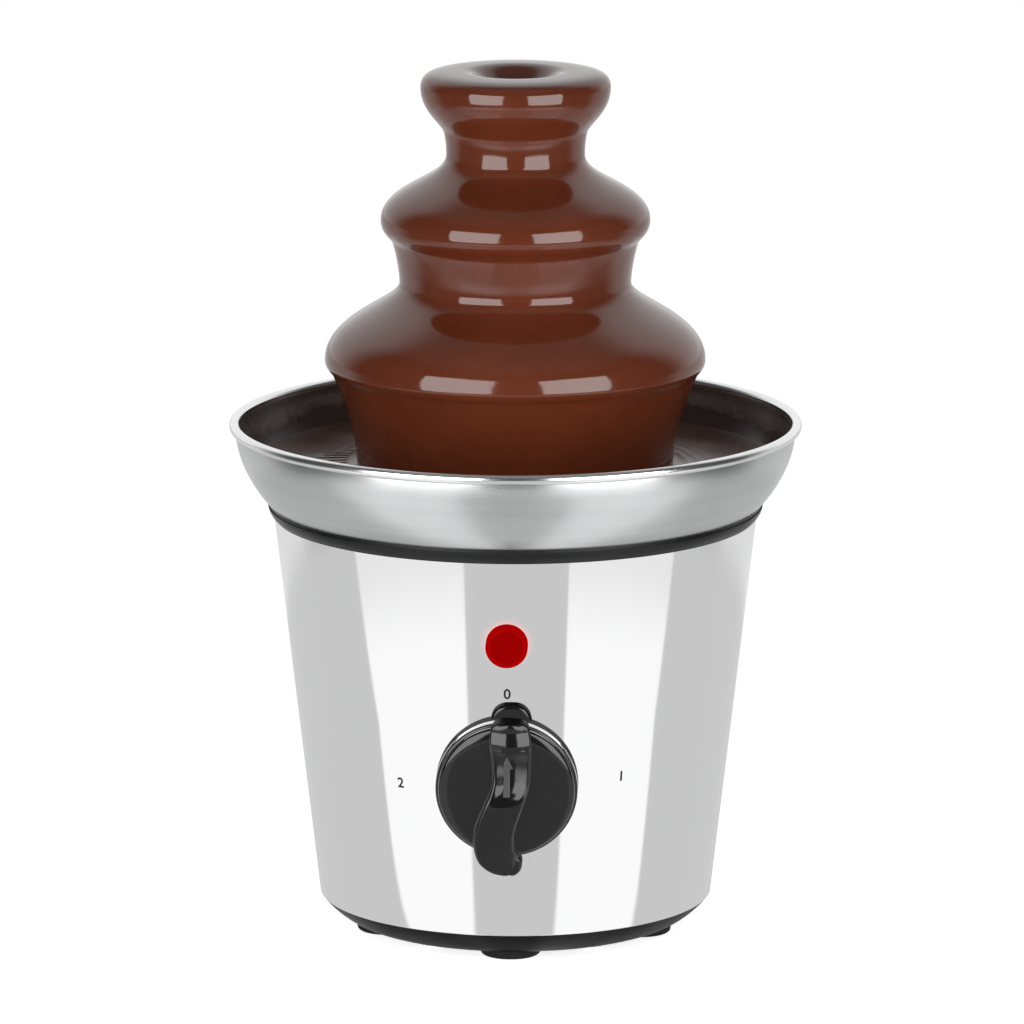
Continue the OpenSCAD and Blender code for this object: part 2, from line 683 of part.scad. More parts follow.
// Gearbox.
module outline(r) {
    circle(r = r);
    translate([centre_gap, 0]) circle(r = r);
    translate([0, -r]) square([centre_gap, 2 * r]);
}
arbor_seat = 1.6;
hub_room = 2.5;
module gearbox_case() {
    color([0.2, 0.2, 0.22]) translate([0, 0, z_case]) difference() {
        union() {
            linear_extrude(case_h) outline(case_r);
            at_ears() cylinder(r = ear_r, h = case_h);
        }
        translate([0, 0, case_floor_t]) linear_extrude(case_h) outline(case_in_r);
        translate([0, 0, -eps]) cylinder(r = motor_shaft_r + hub_room, h = case_floor_t + 2 * eps);
        translate([centre_gap, 0, case_floor_t - arbor_seat]) cylinder(r = pin_r + press, h = case_h);
        at_ears() translate([0, 0, case_h - gear_screw_in - tip_room])
            cylinder(r = screw_bore, h = gear_screw_in + tip_room + eps);
        for (s = [-1, 1]) translate([0, s * motor_ear, -eps])
            cylinder(r = screw_bore, h = motor_screw_in + motor_tip_room);
    }
}
module gearbox_cover() {
    color([0.24, 0.24, 0.26]) translate([0, 0, z_cover]) difference() {
        union() {
            linear_extrude(case_t) outline(case_r);
            at_ears() cylinder(r = ear_r, h = case_t);
        }
        translate([0, 0, -eps]) {
            cylinder(r = bush_r + fit_gap, h = case_t + 2 * eps);
            translate([centre_gap, 0, 0]) cylinder(r = pin_r + press, h = arbor_seat);
            at_ears() cylinder(r = screw_pass, h = case_t + 2 * eps);
        }
    }
}
gear_screw_in = 8;
gear_screw_l = deck_t + case_t + gear_screw_in;
module gearbox_screws() {
    color([0.7, 0.7, 0.72]) translate([0, 0, z_deck]) at_ears() screw(gear_screw_l);
}
bush_h = 9;
bush_lip_w = 1.6;
z_bush = z_cover - bush_lip;
module output_bush() {
    color([0.78, 0.68, 0.4]) difference() {
        union() {
            translate([0, 0, z_bush]) cylinder(r = bush_r, h = bush_h);
            translate([0, 0, z_bush]) cylinder(r = bush_r + bush_lip_w, h = bush_lip);
        }
        translate([0, 0, z_bush - eps]) cylinder(r = shaft_r + run_gap, h = bush_h + 2 * eps);
    }
}
module idler_pin() {
    color([0.75, 0.75, 0.77]) translate([centre_gap, 0, z_case + case_floor_t - arbor_seat])
        cylinder(r = pin_r, h = z_cover - z_case - case_floor_t + 2 * arbor_seat - fit_gap);
}

// Involute gears of 20 degrees.
function involute(a) = tan(a) * 180 / PI - a;
function gear_points(n) =
    let (rp = gear_module * n / 2, rb = rp * cos(20), ra = rp + gear_module, rd = rp - 1.25 * gear_module,
        half = 90 / n - backlash / 4 / rp * 180 / PI + involute(20),
        steps = 4, r0 = max(rb, rd),
        flank = concat(rd < rb ? [[rd, half]] : [],
            [for (k = [0:steps]) let (r = r0 + (ra - r0) * k / steps)
                [r, half - involute(acos(min(1, rb / r)))]]))
    [for (i = [0:n - 1]) for (p = concat([for (q = flank) [q[0], -q[1]]], backwards(flank)))
        let (a = p[1] + i * 360 / n) p[0] * [cos(a), sin(a)]];
module gear(n, w) {
    linear_extrude(w) polygon(gear_points(n));
}
module motor_pinion() {
    color([0.8, 0.7, 0.4]) translate([0, 0, z_wheel_a]) difference() {
        gear(pinion_teeth, gear_w);
        translate([0, 0, -eps]) cylinder(r = motor_shaft_r + press, h = gear_w + 2 * eps);
    }
}
module idler_gear() {
    color([0.92, 0.92, 0.9]) translate([centre_gap, 0, z_wheel_a]) difference() {
        union() {
            rotate([0, 0, wheel_teeth % 2 == 0 ? 180 / wheel_teeth : 0]) gear(wheel_teeth, gear_w);
            rotate([0, 0, pinion_teeth % 2 == 0 ? 180 / pinion_teeth : 0]) translate([0, 0, gear_w - eps])
                gear(pinion_teeth, gear_w + gear_gap + eps);
        }
        translate([0, 0, -eps]) cylinder(r = pin_r + run_gap, h = 2 * gear_w + gear_gap + 2 * eps);
    }
}
module drive_gear() {
    color([0.92, 0.92, 0.9]) translate([0, 0, z_wheel_b]) difference() {
        gear(wheel_teeth, gear_w);
        translate([0, 0, -eps]) cylinder(r = shaft_r + press, h = gear_w + 2 * eps);
    }
}

// Motor.
can_in = motor_r - can_t;
magnet_r = can_in - fit_gap;
armature_r = magnet_r - magnet_t - air_gap;
motor_ear_gap = 1.6;
motor_ear = motor_r + screw_r + motor_ear_gap;
motor_ear_t = 2;
motor_tip_room = 0.6;
motor_screw_in = case_floor_t - 0.8;
module motor_can() {
    color([0.7, 0.71, 0.73]) translate([0, 0, z_motor]) difference() {
        union() {
            cylinder(r = motor_r, h = motor_h);
            for (s = [-1, 1]) translate([0, s * motor_ear, motor_h - motor_ear_t])
                cylinder(r = ear_r, h = motor_ear_t);
        }
        translate([0, 0, -can_t]) cylinder(r = can_in, h = motor_h);
        translate([0, 0, motor_h - can_t - eps]) cylinder(r = motor_shaft_r + run_gap, h = can_t + 2 * eps);
        for (s = [-1, 1]) translate([0, s * motor_ear, motor_h - motor_ear_t - eps])
            cylinder(r = screw_pass, h = motor_ear_t + 2 * eps);
    }
}
magnet_rest = 6;
magnet_h = motor_h - cap_h - magnet_rest;
magnet_a = 140;
module motor_magnets() {
    color([0.15, 0.15, 0.16]) for (side = [0, 180]) rotate([0, 0, side + 90 - magnet_a / 2])
        translate([0, 0, z_motor + cap_h]) rotate_extrude(angle = magnet_a) translate([magnet_r - magnet_t, 0])
            square([magnet_t, magnet_h]);
}
cap_t = 1.5;
cap_plug_h = cap_h - 1;
cap_hub_w = 3;
cap_hub_h = 4;
cap_wall = 1;
rotor_tail = cap_hub_h - cap_wall - 0.2;
brush_x = 11;
brush_w = 3.2;
brush_t = 1;
module motor_end_cap() {
    color([0.1, 0.1, 0.1]) translate([0, 0, z_motor]) difference() {
        union() {
            translate([0, 0, -cap_t]) cylinder(r = motor_r, h = cap_t);
            translate([0, 0, -eps]) cylinder(r = can_in - fit_gap, h = cap_plug_h + eps);
            translate([0, 0, -cap_hub_h]) cylinder(r = motor_shaft_r + cap_hub_w, h = cap_hub_h);
        }
        translate([0, 0, cap_wall - cap_hub_h]) cylinder(r = motor_shaft_r + run_gap, h = cap_hub_h + cap_h);
        for (s = [-1, 1]) translate([s * brush_x - brush_w / 2, -brush_t / 2, 0])
            cube([brush_w, brush_t, cap_h]);
    }
}
module motor_screws() {
    color([0.7, 0.7, 0.72]) for (s = [-1, 1]) translate([0, s * motor_ear, z_case - motor_ear_t])
        rotate([180, 0, 0]) screw(motor_ear_t + motor_screw_in);
}
armature_rest = 4;
commutator_w = 3;
commutator_h = 5;
commutator_drop = 0.6;
module motor_rotor() {
    color([0.6, 0.45, 0.3]) {
        translate([0, 0, z_motor - rotor_tail])
            cylinder(r = motor_shaft_r, h = z_wheel_a + gear_w - z_motor + rotor_tail);
        translate([0, 0, z_motor + cap_h + armature_rest])
            cylinder(r = armature_r, h = magnet_h - 1.5 * armature_rest);
        translate([0, 0, z_motor + cap_h - commutator_drop])
            cylinder(r = motor_shaft_r + commutator_w, h = commutator_h);
    }
}

// Drive shaft and auger.
shaft_rest = 1.2;
auger_lift = 0.6;
z_shaft = z_wheel_b - shaft_rest;
z_auger = z_basin + bush_up + seal_h + auger_lift;
shaft_flat = shaft_r * 0.6;
module drive_shaft() {
    color([0.78, 0.78, 0.8]) difference() {
        translate([0, 0, z_shaft]) cylinder(r = shaft_r, h = z_auger + shaft_grip - z_shaft);
        translate([-shaft_r, shaft_flat, z_auger]) cube([2 * shaft_r, shaft_r, shaft_grip + eps]);
    }
}
clip_h = 1;
clip_w = 2;
module shaft_clip() {
    color([0.4, 0.4, 0.42]) translate([0, 0, z_bush + bush_h + move_gap])
        tube(shaft_r + clip_w, shaft_r + press, clip_h);
}
z_tube = z_basin + inlet_h;
outlet_h = 10;
auger_short = 4;
tip_h = 6;
tip_r = 2.4;
key_room = 0.3;
z_tube_top = z_crest - film - outlet_h;
auger_h = z_tube_top - auger_short - z_auger;
module auger_core() {
    color([0.9, 0.9, 0.88]) translate([0, 0, z_auger]) difference() {
        union() {
            cylinder(r = core_r, h = auger_h - tip_h);
            translate([0, 0, auger_h - tip_h]) cylinder(r1 = core_r, r2 = tip_r, h = tip_h);
        }
        difference() {
            translate([0, 0, -eps]) cylinder(r = shaft_r + run_gap, h = shaft_grip + key_room);
            translate([-core_r, shaft_flat + run_gap, -2 * eps]) cube([2 * core_r, core_r, shaft_grip + 1]);
        }
    }
}
flight_r = tube_r - move_gap;
flight_in = 0.12;
flight_foot = 1;
flight_short = 10;
flight_rings = 24;
module auger_flight() {
    turn_h = auger_h - flight_short;
    turns = turn_h / flight_pitch;
    rings = round(turns * flight_rings);
    inner = core_r + flight_in;
    color([0.9, 0.9, 0.88]) translate([0, 0, z_auger + flight_foot])
        swept([for (k = [0:rings]) let (a = 360 * turns * k / rings, z = (turn_h - flight_t) * k / rings)
            for (c = [[inner, 0], [flight_r, 0], [flight_r, flight_t], [inner, flight_t]])
                [c[0] * cos(a), c[0] * sin(a), z + c[1]]], 4);
}

// Tower: tube, dishes and crown, under the running chocolate.
tube_out = tube_r + tube_t;
hub_in = tube_out + fit_gap;
hub_out = hub_in + hub_t;
skin_gap = 0.2;
skin = film + skin_gap;
dish_start = 4;
function dish_line(run, under) = let (all = beside(chain([run, under]), skin))
    [for (i = [dish_start:len(all) - 1]) all[i]];
middle_dish = dish_line(middle_run, middle_under);
lower_dish = dish_line(lower_run, lower_under);
function dish_in(run, under, z) = [for (p = beside(chain([run, under]), skin + tier_t))
    if (p[1] < z - tier_t) p];
module dish(line, inner) {
    z = line[0][1];
    spun(concat([[hub_in, z - hub_h], [hub_in, z]], line, backwards(inner), [[hub_out, z - tier_t],
        [hub_out, z - hub_h]]));
}
z_lower_hub = lower_dish[0][1] - hub_h;
z_middle_hub = middle_dish[0][1] - hub_h;
seat_h = 2;
seat_w = 1.5;
tube_mid = tube_r + tube_t / 3;
leg_in = 0.6;
leg_start = 30;
module tower_tube() {
    color([0.86, 0.86, 0.87]) {
        translate([0, 0, z_tube]) tube(tube_out, tube_r, z_tube_top - z_tube);
        for (z = [z_lower_hub, z_middle_hub]) translate([0, 0, z - seat_h])
            tube(tube_out + seat_w, tube_mid, seat_h);
        translate([0, 0, z_tube]) tube(foot_flange_r, tube_mid, seat_h);
        for (i = [0:leg_count - 1]) rotate([0, 0, leg_start + i * 360 / leg_count])
            translate([tube_r, -leg_w / 2, z_basin])
                cube([tube_t + foot_flange_w - leg_in, leg_w, inlet_h + seat_h / 2]);
    }
}
module lower_tier() {
    color([0.84, 0.84, 0.85]) dish(lower_dish, dish_in(lower_run, lower_under, lower_dish[0][1]));
}
module middle_tier() {
    color([0.84, 0.84, 0.85]) dish(middle_dish, dish_in(middle_run, middle_under, middle_dish[0][1]));
}
module crown() {
    line = [for (p = beside(crown_line, skin)) if (p[0] >= tube_r) p];
    lip = line[len(line) - 1];
    z_hub = z_tube_top - hub_h;
    color([0.84, 0.84, 0.85]) spun(concat([[tube_r, z_tube_top], [tube_r, line[0][1]]], line,
        [[hub_out, lip[1]], [hub_out, z_hub], [hub_in, z_hub], [hub_in, z_tube_top]]));
}
// A sheet of chocolate runs over each dish and falls as a curtain to the next, with level ends.
function sheet(line) = let (inner = beside(line, film), last = len(line) - 1) concat(line,
    [[inner[last][0], line[last][1]]], [for (i = [last - 1:-1:1]) inner[i]],
    [line[0][0] == 0 ? line[0] - [0, film] : [inner[0][0], line[0][1]]]);
module running(runs) {
    color([0.36, 0.18, 0.11]) spun(sheet(chain(runs)));
}
module crown_chocolate() {
    running([crown_line, upper_fall]);
}
module middle_chocolate() {
    running([middle_run, middle_under, middle_fall]);
}
module lower_chocolate() {
    running([lower_run, lower_under, lower_fall]);
}

// Switch and knob.
neck_wall = 1.6;
neck_up = 3.4;
neck_r = switch_shaft_r + neck_wall;
switch_set = 2.8;
switch_boss_w = 2.4;
boss_gap = 0.5;
bore_in = 8;
shaft_in = 7;
lug_w = 3.2;
lug_t = 0.8;
lug_l = 7;
lug_x = [-9, -3, 3, 9];
switch_back = switch_set + switch_w * switch_w / 8 / shell_r(knob_z);
module rotary_switch() {
    color([0.2, 0.2, 0.22]) on_front(knob_z) difference() {
        union() {
            translate([-switch_w / 2, -switch_w / 2, -switch_back - switch_d])
                cube([switch_w, switch_w, switch_d]);
            translate([0, 0, -switch_back - eps])
                cylinder(r = neck_r + switch_boss_w, h = switch_back - shell_t - boss_gap);
            translate([0, 0, -switch_back - eps]) cylinder(r = neck_r, h = switch_back + neck_up);
            for (x = lug_x) translate([x - lug_w / 2, -lug_t / 2, -switch_back - switch_d - lug_l])
                cube([lug_w, lug_t, lug_l + eps]);
        }
        translate([0, 0, -switch_back - bore_in])
            cylinder(r = switch_shaft_r + run_gap, h = switch_back + bore_in + neck_up + eps);
    }
}
switch_nut_w = 2.6;
switch_nut_h = 2.2;
module switch_nut() {
    color([0.7, 0.7, 0.72]) on_front(knob_z) translate([0, 0, run_gap]) difference() {
        cylinder(r = neck_r + switch_nut_w, h = switch_nut_h, $fn = 6);
        translate([0, 0, -eps]) cylinder(r = neck_r + run_gap, h = switch_nut_h + 2 * eps);
    }
}
bore_rise = 0.6;
bore_rest = 0.2;
knob_top = knob_gap + knob_rim_h + knob_dome;
bore_top = knob_gap + knob_rim_h + bore_rise;
shaft_key = switch_shaft_r * 0.6;
module switch_shaft() {
    color([0.75, 0.75, 0.77]) on_front(knob_z) difference() {
        translate([0, 0, -switch_back - shaft_in])
            cylinder(r = switch_shaft_r, h = switch_back + shaft_in + bore_top - bore_rest);
        translate([-switch_shaft_r, shaft_key, neck_up + move_gap])
            cube([2 * switch_shaft_r, switch_shaft_r, bore_top]);
    }
}
knob_edge = 1.3;
dome_round = 2;
tab_t = 4;
tab_round = tab_w * 0.7;
nut_room = 0.8;
pocket_h = 3.2;
knob_shy = 0.05;
function dome_line(d) = curve([knob_r + d, knob_gap + knob_rim_h],
    [knob_r - knob_edge + d, knob_gap + knob_rim_h + dome_round + d], [knob_r * 0.6, knob_top + d],
    [0, knob_top + d], 10);
module knob_blank(d) {
    spun(concat([[0, knob_gap - d], [knob_r - knob_edge + d, knob_gap - d],
        [knob_r + d, knob_gap + knob_edge]], dome_line(d)));
}
module knob() {
    color([0.03, 0.03, 0.03]) on_front(knob_z) difference() {
        union() {
            knob_blank(0);
            translate([-tab_w / 2, 0, knob_gap]) cube([tab_w, knob_r + tab_l - tab_w / 3, tab_t]);
            intersection() {
                translate([-tab_w / 2, 0, knob_gap]) cube([tab_w, knob_r + tab_l, tab_t]);
                translate([0, knob_r + tab_l - tab_round, 0]) cylinder(r = tab_round, h = knob_gap + tab_t);
            }
        }
        translate([0, 0, -eps]) cylinder(r = neck_r + switch_nut_w + nut_room, h = knob_gap + pocket_h);
        difference() {
            cylinder(r = switch_shaft_r + run_gap, h = bore_top);
            translate([-neck_r, shaft_key + run_gap, 0]) cube([2 * neck_r, neck_r, bore_top + eps]);
        }
    }
}
// The grip winds over the dome as a ridge with a flat back and curls past its lower edge.
// Each step: right, up the slope, underside and back over the dome's top, share of the half width.
grip_path = [[1.3, knob_r - grip_r - 0.3, -7, 0.6, 1], [1.7, knob_r * 0.45, -6, 2.7, 1],
    [1.5, knob_r * 0.13, -6, 4.2, 0.96], [-1, -knob_r * 0.16, -6, 5.2, 0.98],
    [-3.8, -knob_r * 0.5, -6, 5.5, 1.02], [-4, -knob_r * 0.74, -6.3, 5.1, 1.02],
    [-1.8, -knob_r + 1, -5.6, 3.8, 0.88], [3.6, -knob_r - 1, -4.4, 2.2, 0.5]];
grip_edge = 1;
module grip_step(p) {
    r = grip_r * p[4];
    translate([p[0], p[1], knob_top + p[2]]) {
        cylinder(r1 = r - grip_edge, r2 = r, h = grip_edge, $fn = 32);
        cylinder(r = r, h = p[3] - p[2] - grip_edge, $fn = 32);
        cylinder(r = r - grip_edge, h = p[3] - p[2], $fn = 32);
    }
}
module knob_grip() {
    color([0.04, 0.04, 0.04]) on_front(knob_z) difference() {
        for (i = [0:len(grip_path) - 2]) hull() {
            grip_step(grip_path[i]);
            grip_step(grip_path[i + 1]);
        }
        knob_blank(knob_shy);
    }
}

// Pilot lamp.
lens_stem_in = 1.8;
lens_stem_l = 12;
lens_wall = 1.2;
lens_face = 1.4;
lens_edge = 0.8;
lens_rim_w = 0.5;
lens_dish = 0.5;
lens_stem_r = lens_r - lens_stem_in;
module pilot_lens() {
    rim_in = lens_r - lens_edge - lens_rim_w;
    color([0.8, 0.02, 0.02]) on_front(lamp_z) difference() {
        union() {
            spun([[0, fit_gap], [lens_r, fit_gap], [lens_r, lens_h - lens_edge], [lens_r - lens_edge, lens_h],
                [rim_in, lens_h], [rim_in - lens_dish, lens_h - lens_dish], [0, lens_h - lens_dish * 0.6]]);
            translate([0, 0, -lens_stem_l]) cylinder(r = lens_stem_r, h = lens_stem_l + 2 * fit_gap);
        }
        translate([0, 0, -lens_stem_l - eps])
            cylinder(r = lens_stem_r - lens_wall, h = lens_stem_l + lens_h - lens_face);
    }
}
retainer_w = 1;
retainer_h = 3.8;
retainer_gap = 0.5;
module lamp_retainer() {
    color([0.1, 0.1, 0.1]) on_front(lamp_z) translate([0, 0, -shell_t - retainer_gap - retainer_h])
        tube(lens_r + retainer_w, lens_stem_r + run_gap, retainer_h);
}
neon_r = 2.6;
neon_l = 11;
neon_plug_h = 2.5;
neon_set = 1;
neon_pin_x = 1.4;
neon_pin_r = 0.5;
neon_pin_l = 8;
module neon_lamp() {
    color([0.95, 0.6, 0.4]) on_front(lamp_z) translate([0, 0, -lens_stem_l]) {
        translate([0, 0, -neon_set]) cylinder(r = neon_r, h = neon_l);
        translate([0, 0, neon_l - neon_set]) sphere(r = neon_r);
        translate([0, 0, -neon_plug_h]) cylinder(r = lens_stem_r, h = neon_plug_h - eps);
        for (s = [-1, 1]) translate([s * neon_pin_x, 0, -neon_pin_l])
            cylinder(r = neon_pin_r, h = neon_pin_l - neon_plug_h + eps);
    }
}

// Supply: gland at the back and the terminal block on the pan's floor.
gland_wall = 2;
gland_flange_w = 2.4;
gland_flange_h = 2.6;
gland_cone_h = 4;
gland_in = 8;
gland_edge = 0.3;
gland_nut_h = 4;
gland_nut_w = 0.8;
gland_nut_gap = 0.4;
gland_neck_r = gland_bore_r + gland_wall;
gland_flange_r = gland_neck_r + gland_flange_w;
module cord_gland() {
    color([0.07, 0.07, 0.07]) on_back(gland_z) difference() {
        union() {
            translate([0, 0, fit_gap]) cylinder(r = gland_flange_r, h = gland_flange_h);
            translate([0, 0, gland_flange_h])
                cylinder(r1 = gland_flange_r - gland_edge, r2 = gland_neck_r - gland_edge, h = gland_cone_h);
            translate([0, 0, -gland_in]) cylinder(r = gland_neck_r, h = gland_in + 2 * fit_gap);
        }
        translate([0, 0, -gland_in - eps])
            cylinder(r = gland_bore_r, h = gland_in + gland_flange_h + gland_cone_h + 2 * eps);
    }
}
module gland_nut() {
    color([0.1, 0.1, 0.1]) on_back(gland_z) translate([0, 0, -shell_t - gland_nut_gap - gland_nut_h - shell_t])
        difference() {
            cylinder(r = gland_flange_r + gland_nut_w, h = gland_nut_h, $fn = 6);
            translate([0, 0, -eps]) cylinder(r = gland_neck_r + run_gap, h = gland_nut_h + 2 * eps);
        }
}
block_a = 162;
block_x = 34;
block_w = 10;
block_l = 28;
block_h = 11;
block_screw_y = 8;
block_screw_in = block_h - 3.5;
mouth_y = [-11.5, -4, 4, 11.5];
mouth_r = 1.3;
mouth_drop = 3.4;
module terminal_block() {
    color([0.9, 0.9, 0.86]) rotate([0, 0, block_a]) translate([block_x, 0, z_floor]) difference() {
        translate([-block_w / 2, -block_l / 2, 0]) cube([block_w, block_l, block_h]);
        for (s = [-1, 1]) translate([0, s * block_screw_y, -eps])
            cylinder(r = screw_bore, h = block_screw_in + tip_room);
        for (y = mouth_y) translate([-block_w / 2 - eps, y, block_h - mouth_drop]) rotate([0, 90, 0])
            cylinder(r = mouth_r, h = block_w + 2 * eps);
    }
}
module terminal_screws() {
    color([0.7, 0.7, 0.72]) rotate([0, 0, block_a]) for (s = [-1, 1])
        translate([block_x, s * block_screw_y, z_pan]) rotate([180, 0, 0]) screw(pan_floor_t + block_screw_in);
}

// Leads between the block, switch, motor, heater, fuse, thermostat and lamp, each on its own curve.
lead_sides = 8;
lead_steps = 8;
function turned(p, a) = [p[0] * cos(a) - p[1] * sin(a), p[0] * sin(a) + p[1] * cos(a), p[2]];
function mouth(i, side, out) = turned([block_x + side * (block_w / 2 + out), mouth_y[i],
    z_floor + block_h - mouth_drop], block_a);
function front_point(z, x, out) = [x, -shell_r(z) - out * cos(lean), z - out * sin(lean)];
function lug(i, out) = front_point(knob_z, lug_x[i], -switch_back - switch_d - lug_l - fit_gap - out);
function neon_pin(s, out) = front_point(lamp_z, s * neon_pin_x, -lens_stem_l - neon_pin_l - fit_gap - out);
function brush(s, out) = [s * brush_x, 0, z_motor - cap_t - fit_gap - out];
function heater_pin(i, out) = turned([heater_ring_r, 0, z_heater_pin - fit_gap - out], heater_pins[i]);
function blade(s, out) = [s * blade_x - thermo_x, 0, z_blade - fit_gap - out];
function fuse_pin(s, out) = [thermo_x, s * (fuse_l / 2 + fuse_pin_l + fit_gap + out), z_spreader - fuse_h / 2];
function side_hole(dx, out) = concat(side_hole_at + [dx, 0], z_deck + out);
module lead(a, b, c, d, stub = 0) {
    path = concat(stub > 0 ? [a - stub * (b - a) / norm(b - a)] : [], curve(a, b, c, d, lead_steps));
    last = len(path) - 1;
    hint = [0.3, 0.2, 0.1] + cross(d - a, [0, 0, 1]) / norm(d - a);
    swept([for (i = [0:last])
        let (run = i == 0 ? b - a : i == last ? d - c : path[i + 1] - path[i - 1], u = run / norm(run),
            n = cross(u, hint), s = n / norm(n), v = cross(s, u))
        for (k = [0:lead_sides - 1]) let (t = 360 * k / lead_sides)
            path[i] + lead_r * (s * cos(t) + v * sin(t))],
        lead_sides);
}
mouth_stub = 3;
hole_x = 2.5;
module wiring() {
    color([0.55, 0.08, 0.06]) {
        lead(mouth(3, -1, 0), mouth(3, -1, 14), lug(0, 30), lug(0, 0), mouth_stub);
        lead(mouth(2, -1, 0), mouth(2, -1, 8), brush(-1, 14), brush(-1, 0), mouth_stub);
        lead(lug(3, 0), lug(3, 6), brush(1, 30) - [0, 14, 0], brush(1, lead_r / 2));
        lead(mouth(3, 1, 0), mouth(3, 1, 16), side_hole(-hole_x, -50), side_hole(-hole_x, 0), mouth_stub);
        lead(side_hole(-hole_x, 0), side_hole(-hole_x, 14), heater_pin(0, 16), heater_pin(0, 0));
        lead(mouth(2, 1, 0), mouth(2, 1, 16), side_hole(hole_x, -50), side_hole(hole_x, 0), mouth_stub);
        lead(side_hole(hole_x, 0), side_hole(hole_x, 10), blade(-1, 12), blade(-1, 0));
        lead(heater_pin(1, 0), heater_pin(1, 10), fuse_pin(1, 12), fuse_pin(1, 0));
        lead(fuse_pin(-1, 0), fuse_pin(-1, 20), blade(1, 14), blade(1, 0));
        for (s = [-1, 1]) lead(neon_pin(s, 0), neon_pin(s, 10), lug(s < 0 ? 1 : 2, 14), lug(s < 0 ? 1 : 2, 0));
    }
}

rubber_feet();
base_pan();
base_screws();
pillars();
deck_screws();
deck_plate();
bowl_studs();
stud_nuts();
body_shell();
collar_ring();
bowl_gasket();
bowl();
chocolate_pool();
heat_spreader();
heating_element();
thermostat();
thermostat_screws();
thermal_fuse();
bowl_bush();
bush_nut();
bush_washer();
shaft_seal();
gearbox_case();
gearbox_cover();
gearbox_screws();
output_bush();
idler_pin();
motor_can();
motor_magnets();
motor_end_cap();
motor_screws();
motor_rotor();
motor_pinion();
idler_gear();
drive_gear();
drive_shaft();
shaft_clip();
auger_core();
auger_flight();
tower_tube();
lower_tier();
middle_tier();
crown();
crown_chocolate();
middle_chocolate();
lower_chocolate();
rotary_switch();
switch_nut();
switch_shaft();
knob();
knob_grip();
pilot_lens();
lamp_retainer();
neon_lamp();
cord_gland();
gland_nut();
terminal_block();
terminal_screws();
wiring();
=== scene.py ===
"""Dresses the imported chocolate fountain: new visible pieces, finishes for every solid, and a pale studio."""

import functools
import json
import logging
import math
from dataclasses import dataclass, field
from enum import Enum
from typing import Any, Optional, Sequence

import bmesh
import bpy
from mathutils import Matrix, Vector


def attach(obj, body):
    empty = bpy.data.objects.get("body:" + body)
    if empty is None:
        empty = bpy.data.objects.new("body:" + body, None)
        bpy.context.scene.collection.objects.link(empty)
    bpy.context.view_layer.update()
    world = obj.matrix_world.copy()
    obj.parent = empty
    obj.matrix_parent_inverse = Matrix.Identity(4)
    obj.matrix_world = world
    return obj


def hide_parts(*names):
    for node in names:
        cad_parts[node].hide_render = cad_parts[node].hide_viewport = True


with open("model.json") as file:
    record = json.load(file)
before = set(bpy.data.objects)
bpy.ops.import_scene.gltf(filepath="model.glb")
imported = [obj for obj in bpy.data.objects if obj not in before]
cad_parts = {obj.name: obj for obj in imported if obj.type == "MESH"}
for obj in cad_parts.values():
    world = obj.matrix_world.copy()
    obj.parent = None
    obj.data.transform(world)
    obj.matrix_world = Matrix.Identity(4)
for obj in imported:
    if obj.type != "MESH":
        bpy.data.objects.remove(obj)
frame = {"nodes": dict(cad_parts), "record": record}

LOG = logging.getLogger("fountain")
MM = 0.001
MERGE = 1e-7
WELD = 1e-6
CREASE = 32.0

Pair = tuple[float, float]
Point = tuple[float, float, float]
Colour = tuple[float, float, float]
Inputs = Optional[dict[Any, Any]]
Quad = tuple[float, float, float, float]
BMesh = bmesh.types.BMesh
Socket = bpy.types.NodeSocket


class Rider(Enum):
    """The CAD bodies that the new pieces move with."""

    BASE = "base"
    KNOB = "knob"
    TOWER = "tower"


class Grain(Enum):
    """How the tool marks run over a metal."""

    RINGS = "round the axis"
    DRAWN = "along the height"
    EVEN = "no direction"


class Beam(Enum):
    """What a lamp of a soft box is for."""

    LIGHT = "light"
    GLEAM = "gleam"
    GLINT = "glint"


# Drawing and mesh helpers


def blend(low: float, high: float, share: float) -> float:
    """Returns the value that lies a share of the way from low to high."""
    return low + (high - low) * share


def ease(edge0: float, edge1: float, value: float) -> float:
    """Returns a smooth step from 0 at the first edge to 1 at the second."""
    share = min(1.0, max(0.0, (value - edge0) / (edge1 - edge0)))
    return share * share * (3 - 2 * share)


